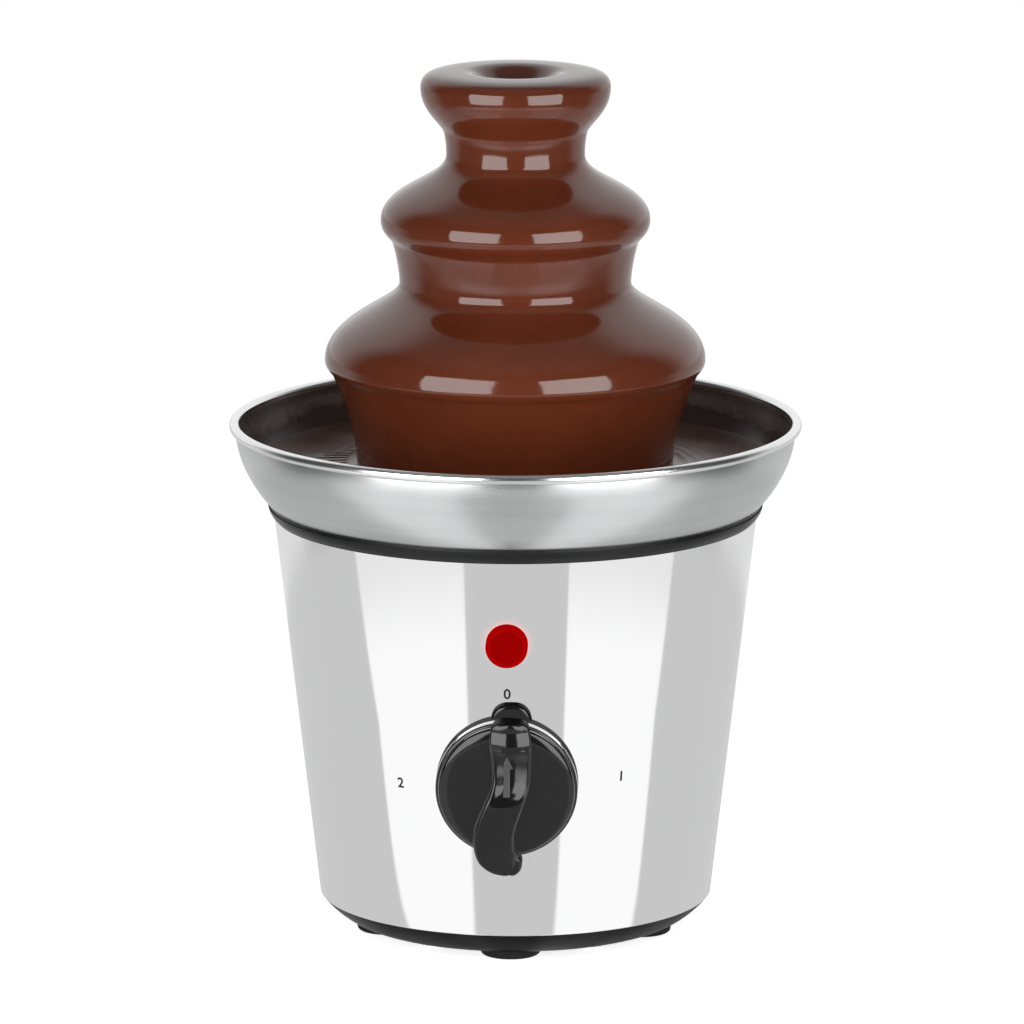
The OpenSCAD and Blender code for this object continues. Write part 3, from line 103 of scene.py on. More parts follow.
class Section:
    """A half section in millimetres: radius first, height second."""

    def __init__(self, radius: float, height: float) -> None:
        """Starts the line at a point."""
        self.points: list[Pair] = [(radius, height)]

    def to(self, *points: Pair) -> "Section":
        """Goes on in straight lines and returns the section."""
        self.points.extend(points)
        return self

    def straight(self, end: Pair, steps: int) -> "Section":
        """Goes on to a point in equal steps.

        Args:
            end: where the line stops.
            steps: how many points are added.

        Returns:
            The section itself.
        """
        start = self.points[-1]
        for i in range(1, steps + 1):
            self.points.append((blend(start[0], end[0], i / steps), blend(start[1], end[1], i / steps)))
        return self

    def bend(self, first: Pair, second: Pair, end: Pair, steps: int = 14) -> "Section":
        """Goes on along a Bezier curve.

        Args:
            first: handle of the last point.
            second: handle of the end.
            end: where the curve stops.
            steps: how many points are added.

        Returns:
            The section itself.
        """
        start = self.points[-1]
        for i in range(1, steps + 1):
            t = i / steps
            weights = ((1 - t) ** 3, 3 * t * (1 - t) ** 2, 3 * t * t * (1 - t), t**3)
            stops = (start, first, second, end)
            self.points.append(
                (
                    sum(w * p[0] for w, p in zip(weights, stops)),
                    sum(w * p[1] for w, p in zip(weights, stops)),
                )
            )
        return self

    def arc(self, centre: Pair, radius: float, start: float, stop: float, steps: int) -> "Section":
        """Goes on round a circle.

        Args:
            centre: the circle's middle.
            radius: the circle's radius.
            start: first angle in degrees.
            stop: last angle in degrees.
            steps: how many parts the arc has.

        Returns:
            The section itself.
        """
        for i in range(steps + 1):
            angle = math.radians(blend(start, stop, i / steps))
            self.points.append((centre[0] + radius * math.cos(angle), centre[1] + radius * math.sin(angle)))
        return self

    def beside(self, depth: float) -> list[Pair]:
        """Moves the line to its left, point by point.

        Args:
            depth: how far it moves, to its right where less than 0.

        Returns:
            The moved points.
        """
        moved: list[Pair] = []
        last = len(self.points) - 1
        for i, (r, z) in enumerate(self.points):
            a = self.points[max(0, i - 1)]
            b = self.points[min(last, i + 1)]
            length = math.hypot(b[0] - a[0], b[1] - a[1])
            moved.append((max(0.0, r - depth * (b[1] - a[1]) / length), z + depth * (b[0] - a[0]) / length))
        return moved


def spun(outline: Sequence[Pair], steps: int, closed: bool) -> BMesh:
    """Turns a half section round the upright axis.

    Args:
        outline: points in millimetres.
        steps: how many faces go round.
        closed: whether the last point is joined to the first.

    Returns:
        A watertight mesh in metres.
    """
    bm = bmesh.new()
    line = [bm.verts.new((r * MM, 0.0, z * MM)) for r, z in outline]
    edges = [bm.edges.new(pair) for pair in zip(line, line[1:])]
    if closed:
        edges.append(bm.edges.new((line[-1], line[0])))
    bmesh.ops.spin(
        bm, geom=line + edges, cent=(0, 0, 0), axis=(0, 0, 1), angle=math.tau, steps=steps, use_merge=True
    )
    bmesh.ops.remove_doubles(bm, verts=bm.verts, dist=MERGE)
    bmesh.ops.dissolve_degenerate(bm, edges=bm.edges, dist=MERGE)
    bmesh.ops.recalc_face_normals(bm, faces=bm.faces)
    return bm


def joined(meshes: Sequence[BMesh]) -> BMesh:
    """Puts several meshes into one.

    Args:
        meshes: the meshes, freed here.

    Returns:
        The mesh that holds them all.
    """
    whole = bmesh.new()
    for part in meshes:
        carrier = bpy.data.meshes.new("carrier")
        part.to_mesh(carrier)
        part.free()
        whole.from_mesh(carrier)
        bpy.data.meshes.remove(carrier)
    return whole


def raised(bm: BMesh, height: float) -> None:
    """Draws the flat faces of a mesh out to a thickness.

    Args:
        bm: the mesh, flat so far.
        height: the thickness in millimetres.
    """
    lifted = bmesh.ops.extrude_face_region(bm, geom=list(bm.faces))
    tops = [v for v in lifted["geom"] if isinstance(v, bmesh.types.BMVert)]
    bmesh.ops.translate(bm, verts=tops, vec=(0, 0, height * MM))


def drilled(bm: BMesh, drills: BMesh) -> BMesh:
    """Cuts the drills out of a solid with Blender's exact Boolean.

    Args:
        bm: the solid, freed here.
        drills: what is taken out, freed here.

    Returns:
        The solid with its holes.
    """
    holders = []
    for label, part in (("blank", bm), ("drills", drills)):
        mesh = bpy.data.meshes.new(label)
        part.to_mesh(mesh)
        part.free()
        holders.append(bpy.data.objects.new(label, mesh))
        bpy.context.collection.objects.link(holders[-1])
    cut = holders[0].modifiers.new("holes", "BOOLEAN")
    cut.operation = "DIFFERENCE"
    cut.solver = "EXACT"
    cut.object = holders[1]
    made = bpy.data.meshes.new_from_object(holders[0].evaluated_get(bpy.context.evaluated_depsgraph_get()))
    whole = bmesh.new()
    whole.from_mesh(made)
    for holder in holders:
        mesh = holder.data
        bpy.data.objects.remove(holder)
        bpy.data.meshes.remove(mesh)
    bpy.data.meshes.remove(made)
    return whole


@dataclass(frozen=True)
class PieceCard:
    """What a new piece is called, what it moves with, and which CAD nodes it stands for."""

    name: str
    rider: Rider
    slot: str
    stands_for: tuple[str, ...] = ()
    crease: float = CREASE
    mirrored: bool = True


def set_down(bm: BMesh, card: PieceCard, *materials: bpy.types.Material) -> bpy.types.Object:
    """Makes a finished mesh an object of the fountain.

    Args:
        bm: the mesh in place, freed here.
        card: its name, body and nodes, and a slot that is not read here.
        materials: its finishes, in the order of the faces' numbers.

    Returns:
        The object, riding on its body.
    """
    for face in bm.faces:
        face.smooth = True
    crease = math.radians(card.crease)
    for edge in bm.edges:
        edge.smooth = edge.calc_face_angle(math.pi) < crease
    mesh = bpy.data.meshes.new(card.name)
    bm.to_mesh(mesh)
    bm.free()
    for material in materials:
        mesh.materials.append(material)
    piece = bpy.data.objects.new(card.name, mesh)
    bpy.context.collection.objects.link(piece)
    piece.visible_glossy = card.mirrored
    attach(piece, card.rider.value)
    if card.stands_for:
        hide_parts(*card.stands_for)
    LOG.info("%s: %d faces on %s", card.name, len(mesh.polygons), card.rider.value)
    return piece


# Finishes


class Graph:
    """The shader nodes of a material, laid on the piece's Object coordinates, or of a lamp or the world."""

    def __init__(self, owner: Any, coordinates: str = "Object") -> None:
        """Opens the owner's nodes and finds its coordinates.

        Args:
            owner: a material, a lamp's data or a world.
            coordinates: which output of Texture Coordinate the patterns lie on.
        """
        owner.use_nodes = True
        self.owner = owner
        self.nodes = owner.node_tree.nodes
        self.links = owner.node_tree.links
        self.place = self.node("TexCoord").outputs[coordinates]

    def node(self, kind: str, inputs: Inputs = None, **settings: Any) -> bpy.types.Node:
        """Adds a node.

        Args:
            kind: the node's type after ShaderNode.
            inputs: values for its sockets, or sockets to wire to them.
            settings: its own properties.

        Returns:
            The node.
        """
        made = self.nodes.new("ShaderNode" + kind)
        for key, value in settings.items():
            setattr(made, key, value)
        self.feed(made, inputs or {})
        return made

    def feed(self, node: bpy.types.Node, inputs: dict[Any, Any]) -> None:
        """Sets a node's sockets, or wires other sockets to them.

        Args:
            node: the node that is fed.
            inputs: values, or sockets to wire, by the name or number of the socket.
        """
        for key, value in inputs.items():
            if isinstance(value, Socket):
                self.links.new(value, node.inputs[key])
            else:
                node.inputs[key].default_value = value

    def math(self, operation: str, *values: Any) -> Socket:
        """Returns the result of a Math node."""
        return self.node("Math", dict(enumerate(values)), operation=operation).outputs[0]

    def noise(self, scale: Point, detail: float = 3.0, place: Any = None) -> Socket:
        """Adds 3-D noise.

        Args:
            scale: cells in a metre, each way.
            detail: how many finer layers it has.
            place: coordinates to use in place of the piece's own.

        Returns:
            The noise, from 0 to 1.
        """
        stretched = self.node("Mapping", {"Vector": place or self.place, "Scale": scale})
        return self.node(
            "TexNoise", {"Vector": stretched.outputs[0], "Scale": 1.0, "Detail": detail}
        ).outputs[0]

    def polar(self) -> Socket:
        """Finds radius and height, for marks that run round the axis.

        Returns:
            A vector of radius, 0 and height.
        """
        axes = self.node("SeparateXYZ", {0: self.place}).outputs
        flat = self.node("CombineXYZ", {0: axes[0], 1: axes[1]}).outputs[0]
        radius = self.node("VectorMath", {0: flat}, operation="LENGTH").outputs["Value"]
        return self.node("CombineXYZ", {0: radius, 2: axes[2]}).outputs[0]

    def between(self, share: Any, low: float, high: float, start: float = 0.3, stop: float = 0.7) -> Any:
        """Spreads a noise over a range.

        Args:
            share: the noise.
            low: the value at start and before it.
            high: the value at stop and past it.
            start: where the noise gives low.
            stop: where the noise gives high.

        Returns:
            The value.
        """
        return self.node(
            "MapRange", {"Value": share, "From Min": start, "From Max": stop, "To Min": low, "To Max": high}
        ).outputs[0]

    def tones(self, share: Any, dark: Colour, light: Colour) -> Socket:
        """Returns a colour that follows a share from dark to light."""
        mix = self.node("Mix", {0: share, 6: (*dark, 1.0), 7: (*light, 1.0)}, data_type="RGBA")
        return mix.outputs[2]

    def relief(self, height: Any, strength: float, depth: float) -> Socket:
        """Returns a normal bumped by a height, with the depth in metres."""
        return self.node("Bump", {"Height": height, "Strength": strength, "Distance": depth}).outputs[0]

    def weighed(self, first: Any, second: Any, share: float) -> Socket:
        """Returns the sum of two sockets, with a share for the first and the rest for the second."""
        parts = (self.math("MULTIPLY", first, share), self.math("MULTIPLY", second, 1 - share))
        return self.math("ADD", *parts)

    def smooth(self, value: Any, start: float, stop: float) -> Socket:
        """Eases a socket.

        Args:
            value: the socket.
            start: its value that gives 0.
            stop: its value that gives 1.

        Returns:
            A smooth step from 0 to 1.
        """
        limits = {"Value": value, "From Min": start, "From Max": stop}
        return self.node("MapRange", limits, interpolation_type="SMOOTHSTEP").outputs[0]

    def mixed(self, share: Any, low: Any, high: Any) -> Socket:
        """Returns the value that lies a share of the way from one socket or number to another."""
        return self.node("Mix", {0: share, 2: low, 3: high}).outputs[0]

    def dress(self, **sockets: Any) -> None:
        """Feeds the shader's sockets, named with underscores for spaces."""
        shader = self.nodes["Principled BSDF"]
        self.feed(shader, {key.replace("_", " "): value for key, value in sockets.items()})


def shaded(colour: Colour, factor: float) -> Colour:
    """Returns a colour with each part multiplied."""
    return (colour[0] * factor, colour[1] * factor, colour[2] * factor)


def even(scale: float) -> Point:
    """Returns a scale that is the same each way."""
    return (scale, scale, scale)


@dataclass(frozen=True)
class Finish:
    """A look that becomes a material once."""

    name: str

    @functools.cache
    def material(self) -> bpy.types.Material:
        """Makes the material at the first call.

        Returns:
            The material.
        """
        graph = Graph(bpy.data.materials.new(self.name))
        self.shade(graph)
        return graph.owner

    def shade(self, graph: Graph) -> None:
        """Lays the nodes of the look, in the way of each kind of finish."""
        raise NotImplementedError


@dataclass(frozen=True)
class PaintedLampGlow:
    """A red glow painted as emission on the sheet round the pilot lamp, in place of the light that the lamp
    throws on it.
    """

    place: Point = (0.0, -0.0770, 0.112)
    inner: float = 0.0066
    outer: float = 0.0105
    colour: Colour = (1.0, 0.03, 0.02)
    level: float = 0.4
    fall: float = 3.0

    def strength(self, graph: Graph) -> Socket:
        """Makes the painted glow, which falls away from the lens.

        Args:
            graph: the nodes of the sheet's material.

        Returns:
            The glow's strength.
        """
        away = graph.node("VectorMath", {0: graph.place, 1: self.place}, operation="DISTANCE")
        near = graph.between(away.outputs["Value"], 0.0, 1.0, self.outer, self.inner)
        return graph.math("MULTIPLY", graph.math("POWER", near, self.fall), self.level)


@dataclass(frozen=True)
class MetalFinish(Finish):
    """A bare metal with its tool marks, and on the shell a red glow painted round the pilot lamp."""

    colour: Colour
    rough: Pair
    grain: Grain = Grain.EVEN
    mark: float = 0.00035
    relief: float = 0.08
    tone: float = 0.94
    brushed: float = 0.0
    painted_glow: Optional[PaintedLampGlow] = None
    brush_turn: float = 0.25
    drawn_out: float = 60.0
    cloud: float = 45.0
    depth: float = 0.00004

    def shade(self, graph: Graph) -> None:
        """Lays the metal's nodes.

        Args:
            graph: the material's nodes.
        """
        fine = 1 / self.mark
        if self.grain is Grain.RINGS:
            marks = graph.noise(even(fine), 4.0, graph.polar())
        elif self.grain is Grain.DRAWN:
            marks = graph.noise((fine, fine, fine / self.drawn_out), 3.0)
        else:
            marks = graph.noise(even(fine), 3.0)
        share = graph.weighed(marks, graph.noise(even(self.cloud), 2.0), 0.5)
        if self.brushed:
            tangent = graph.node("Tangent", direction_type="RADIAL", axis="Z").outputs[0]
            graph.dress(Anisotropic=self.brushed, Anisotropic_Rotation=self.brush_turn, Tangent=tangent)
        # Paints the pilot lamp's red glow onto the metal as emission.
        if self.painted_glow:
            glow = self.painted_glow.strength(graph)
            graph.dress(Emission_Color=(*self.painted_glow.colour, 1.0), Emission_Strength=glow)
        graph.dress(
            Base_Color=graph.tones(share, shaded(self.colour, self.tone), self.colour),
            Metallic=1.0,
            Roughness=graph.between(share, *self.rough),
            Normal=graph.relief(marks, self.relief, self.depth),
        )


@dataclass(frozen=True)
class SmearedFinish(Finish):
    """Spun steel smeared with chocolate, cleaner towards the rim."""

    steel: Colour
    smear: Colour
    clean: Pair
    cloud: Point = (32.0, 32.0, 90.0)
    runs: Point = (260.0, 260.0, 30.0)
    cloud_share: float = 0.7
    patches: Pair = (0.6, 1.1)
    rough: Pair = (0.2, 0.35)
    relief: float = 0.15
    depth: float = 0.0003

    def shade(self, graph: Graph) -> None:
        """Lays the smeared steel's nodes.

        Args:
            graph: the material's nodes.
        """
        height = graph.node("SeparateXYZ", {0: graph.place}).outputs[2]
        cloud = graph.noise(self.cloud, 4.0)
        runs = graph.noise(self.runs, 3.0)
        rise = graph.between(height, 0.0, 1.0, *self.clean)
        bare = graph.math("ADD", rise, graph.weighed(cloud, runs, self.cloud_share))
        share = graph.between(bare, 0.0, 1.0, *self.patches)
        graph.dress(
            Base_Color=graph.tones(share, self.smear, self.steel),
            Metallic=share,
            Roughness=graph.between(cloud, *self.rough),
            Normal=graph.relief(runs, self.relief, self.depth),
        )


@dataclass(frozen=True)
class MouldedFinish(Finish):
    """A moulded plastic, rubber or ceramic with a fine surface grain."""

    colour: Colour
    rough: Pair
    grain: float = 0.0005
    relief: float = 0.12
    gloss: float = 0.5
    tone: float = 0.8
    cloud: float = 60.0
    depth: float = 0.00005

    def shade(self, graph: Graph) -> None:
        """Lays the moulding's nodes.

        Args:
            graph: the material's nodes.
        """
        pores = graph.noise(even(1 / self.grain), 2.0)
        cloud = graph.noise(even(self.cloud), 3.0)
        graph.dress(
            Base_Color=graph.tones(cloud, shaded(self.colour, self.tone), self.colour),
            Roughness=graph.between(cloud, *self.rough),
            Normal=graph.relief(pores, self.relief, self.depth),
            Specular_IOR_Level=self.gloss,
        )


@dataclass(frozen=True)
class ChocolateFinish(Finish):
    """Warm milk chocolate: a smooth brown with faint streaks along the fall."""

    dark: Colour
    light: Colour
    rough: Pair = (0.06, 0.1)
    streak: Point = (420.0, 420.0, 36.0)
    cloud: Point = (38.0, 38.0, 22.0)
    cloud_share: float = 0.75
    relief: float = 0.05
    depth: float = 0.0002

    def shade(self, graph: Graph) -> None:
        """Lays the chocolate's nodes.

        Args:
            graph: the material's nodes.
        """
        streaks = graph.noise(self.streak, 2.0)
        cloud = graph.noise(self.cloud, 4.0)
        share = graph.weighed(cloud, streaks, self.cloud_share)
        graph.dress(
            Base_Color=graph.tones(graph.between(share, 0.0, 1.0), self.dark, self.light),
            Roughness=graph.between(cloud, *self.rough),
            Normal=graph.relief(streaks, self.relief, self.depth),
        )


@dataclass(frozen=True)
class LensFinish(Finish):
    """A red or amber lens that is lit from within."""

    colour: Colour
    glow: float
    rough: Pair = (0.14, 0.22)
    tone: float = 0.8
    cloud: float = 160.0
    pores: float = 900.0
    relief: float = 0.05
    depth: float = 0.0001

    def shade(self, graph: Graph) -> None:
        """Lays the lens's nodes.

        Args:
            graph: the material's nodes.
        """
        cloud = graph.noise(even(self.cloud), 2.0)
        tint = graph.tones(cloud, shaded(self.colour, self.tone), self.colour)
        graph.dress(
            Base_Color=tint,
            Roughness=graph.between(cloud, *self.rough),
            Emission_Color=tint,
            Emission_Strength=self.glow,
            Specular_IOR_Level=0.0,
            Normal=graph.relief(graph.noise(even(self.pores), 1.0), self.relief, self.depth),
        )


# The shell's finish carries the pilot lamp's red glow, painted as emission.
SHELL_STEEL = MetalFinish(
    "polished_shell", (0.86, 0.86, 0.865), (0.05, 0.08), Grain.RINGS, 0.0006, 0.012, 0.985, painted_glow=PaintedLampGlow()
)
BOWL_STEEL = MetalFinish(
    "spun_steel", (0.7, 0.705, 0.71), (0.25, 0.32), Grain.RINGS, 0.0036, 0.04, 0.66, brushed=0.4
)
# A lighter copy of the bowl's steel for the rolled rim: the extra lightness is a painted sheen.
RIM_STEEL_PAINTED_SHEEN = MetalFinish("rolled_rim_painted_sheen", (0.8, 0.805, 0.81), (0.16, 0.22), Grain.RINGS, 0.0005, 0.04, 0.96)
BOWL_INSIDE = SmearedFinish("smeared_bowl", (0.5, 0.46, 0.44), (0.075, 0.047, 0.038), (0.159, 0.174))
TOWER_STEEL = MetalFinish("tower_steel", (0.72, 0.72, 0.725), (0.2, 0.3), Grain.RINGS, 0.0004, 0.1)
CHOCOLATE = ChocolateFinish("running_chocolate", (0.115, 0.024, 0.009), (0.15, 0.034, 0.014))
# The pool's chocolate is lighter and greyer than the running chocolate; that difference is painted light and
# sheen.
POOL_CHOCOLATE_PAINTED_LIGHT = ChocolateFinish(
    "pooled_chocolate", (0.1, 0.05, 0.038), (0.16, 0.085, 0.066), (0.18, 0.26), (90.0, 90.0, 90.0)
)
KNOB_BLACK = MouldedFinish("knob_gloss", (0.008, 0.008, 0.0085), (0.08, 0.13), 0.0012, 0.02, 0.42)
# A darker, dull copy of the knob's plastic for its sides: painted shade.
KNOB_PAINTED_SHADE = MouldedFinish("knob_painted_shade", (0.004, 0.004, 0.0043), (0.3, 0.4), 0.0012, 0.02, 0.005, 0.6)
ARROW_GREY = MouldedFinish("arrow_grey", (0.075, 0.075, 0.078), (0.3, 0.4), 0.0008, 0.05, 0.3)
PRINT_BLACK = MouldedFinish("dial_print", (0.012, 0.012, 0.012), (0.5, 0.65), 0.0002, 0.15, 0.2)
LENS_RED = LensFinish("lens_red", (0.29, 0.0005, 0.0008), 0.1)
LENS_RIM = LensFinish("lens_rim", (0.36, 0.0008, 0.001), 0.16)

SLOT_FINISHES: dict[str, Finish] = {
    "foot_rubber": MouldedFinish("foot_rubber", (0.012, 0.012, 0.012), (0.6, 0.8), 0.0004, 0.25, 0.2),
    "pan_plastic": MouldedFinish(
        "pan_plastic", (0.008, 0.008, 0.0083), (0.32, 0.45), 0.0005, 0.14, 0.06
    ),
    "collar_plastic": MouldedFinish(
        "collar_plastic", (0.01, 0.01, 0.0103), (0.28, 0.4), 0.0005, 0.1, 0.22
    ),
    "shell_steel": SHELL_STEEL,
    "bowl_steel": BOWL_STEEL,
    "tower_steel": TOWER_STEEL,
    "chocolate": CHOCOLATE,
    "frame_steel": MetalFinish(
        "zinc_frame", (0.62, 0.64, 0.66), (0.32, 0.48), Grain.EVEN, 0.003, 0.1, 0.85
    ),
    "screw_steel": MetalFinish(
        "bright_screws", (0.66, 0.66, 0.68), (0.25, 0.38), Grain.EVEN, 0.0004, 0.12, 0.88
    ),
    "bearing_bronze": MetalFinish(
        "bearing_bronze", (0.55, 0.34, 0.16), (0.32, 0.46), Grain.RINGS, 0.0003, 0.15, 0.8
    ),
    "silicone": MouldedFinish("silicone", (0.05, 0.05, 0.052), (0.5, 0.65), 0.0006, 0.1),
    "spreader_aluminium": MetalFinish(
        "aluminium", (0.8, 0.81, 0.82), (0.35, 0.5), Grain.EVEN, 0.0008, 0.2, 0.9
    ),
    "heater_steel": MetalFinish(
        "heater_sheath", (0.36, 0.34, 0.32), (0.4, 0.58), Grain.EVEN, 0.0007, 0.2, 0.7
    ),
    "fuse_ceramic": MouldedFinish(
        "fuse_ceramic", (0.74, 0.71, 0.64), (0.35, 0.5), 0.0004, 0.1, 0.5, 0.92
    ),
    "gearbox_plastic": MouldedFinish("gearbox_plastic", (0.09, 0.09, 0.1), (0.4, 0.55), 0.0006, 0.2),
    "gear_plastic": MouldedFinish(
        "gear_plastic", (0.78, 0.76, 0.68), (0.35, 0.48), 0.0006, 0.08, 0.5, 0.94
    ),
    "pinion_brass": MetalFinish(
        "pinion_brass", (0.76, 0.56, 0.25), (0.25, 0.38), Grain.EVEN, 0.0003, 0.12, 0.85
    ),
    "motor_steel": MetalFinish(
        "motor_can", (0.5, 0.51, 0.53), (0.34, 0.48), Grain.DRAWN, 0.0005, 0.16, 0.88
    ),
    "magnet_ferrite": MouldedFinish("ferrite", (0.045, 0.044, 0.045), (0.5, 0.7), 0.0005, 0.3),
    "rotor_iron": MetalFinish(
        "rotor_iron", (0.4, 0.39, 0.38), (0.4, 0.55), Grain.RINGS, 0.0004, 0.25, 0.8
    ),
    "shaft_steel": MetalFinish(
        "ground_shaft", (0.72, 0.72, 0.73), (0.16, 0.26), Grain.RINGS, 0.0003, 0.12, 0.92
    ),
    "auger_plastic": MouldedFinish(
        "auger_plastic", (0.72, 0.68, 0.58), (0.32, 0.45), 0.0006, 0.1, 0.5, 0.93
    ),
    "switch_plastic": MouldedFinish("switch_plastic", (0.05, 0.05, 0.055), (0.42, 0.56), 0.0005, 0.16),
    "knob_plastic": KNOB_BLACK,
    "lens_red": LENS_RED,
    "lamp_glass": LensFinish("neon_glass", (0.9, 0.42, 0.18), 0.5),
    "gland_plastic": MouldedFinish("gland_plastic", (0.022, 0.022, 0.023), (0.4, 0.55), 0.0005, 0.16),
    "terminal_plastic": MouldedFinish(
        "terminal_plastic", (0.72, 0.71, 0.66), (0.4, 0.52), 0.0005, 0.1, 0.5, 0.93
    ),
    "wire_plastic": MouldedFinish(
        "wire_plastic", (0.66, 0.64, 0.58), (0.42, 0.55), 0.0005, 0.1, 0.5, 0.93
    ),
}


# Sub-assemblies


@dataclass
class Body:
    """The conical steel shell with the holes for switch, lamp and cord."""

    foot_r: float = 65.4
    foot_z: float = 11.0
    top_r: float = 80.2
    top_z: float = 139.5
    sheet: float = 0.8
    hem: float = 0.25
    rings: int = 16
    steps: int = 288
    switch_z: float = 65.5
    switch_hole: float = 4.7
    lamp_z: float = 112.0
    lamp_hole: float = 5.2
    gland_z: float = 27.0
    gland_hole: float = 5.7
    drill_l: float = 10.0
    drill_sides: int = 48

    @property
    def lean(self) -> float:
        """The angle in radians by which the side leans out."""
        return math.atan2(self.top_r - self.foot_r, self.top_z - self.foot_z)

    def radius(self, height: float) -> float:
        """Returns the outer radius at a height."""
        return self.foot_r + (height - self.foot_z) * math.tan(self.lean)

    def front(self, height: float, turned: bool = False) -> Matrix:
        """Finds a place on the front or the back.

        Args:
            height: the place's height in millimetres.
            turned: whether it is on the back.

        Returns:
            A frame with Y up the slope and Z straight out.
        """
        sine, cosine = math.sin(self.lean), math.cos(self.lean)
        place = Matrix(
            (
                (1, 0, 0, 0),
                (0, -sine, -cosine, -self.radius(height) * MM),
                (0, cosine, -sine, height * MM),
                (0, 0, 0, 1),
            )
        )
        return Matrix.Rotation(math.pi, 4, "Z") @ place if turned else place

    def shell(self) -> BMesh:
        """Makes the shell and drills it.

        Returns:
            The shell with its three holes.
        """
        inner_foot, inner_top = self.foot_r - self.sheet, self.top_r - self.sheet
        line = Section(inner_foot, self.foot_z + self.hem).to(
            (inner_foot + self.hem, self.foot_z), (self.foot_r - self.hem, self.foot_z)
        )
        line.to((self.radius(self.foot_z + self.hem), self.foot_z + self.hem))
        line.straight((self.radius(self.top_z - self.hem), self.top_z - self.hem), self.rings)
        line.to((self.top_r - self.hem, self.top_z), (inner_top, self.top_z))
        drills = bmesh.new()
        for place, radius in (
            (self.front(self.switch_z), self.switch_hole),
            (self.front(self.lamp_z), self.lamp_hole),
            (self.front(self.gland_z, True), self.gland_hole),
        ):
            bmesh.ops.create_cone(
                drills,
                cap_ends=True,
                segments=self.drill_sides,
                radius1=radius * MM,
                radius2=radius * MM,
                depth=self.drill_l * MM,
                matrix=place,
            )
        return drilled(spun(line.points, self.steps, True), drills)

    def build(self) -> None:
        """Makes and dresses the shell."""
        card = PieceCard("steel_shell", Rider.BASE, "shell_steel", ("body_shell",))
        set_down(self.shell(), card, SHELL_STEEL.material())


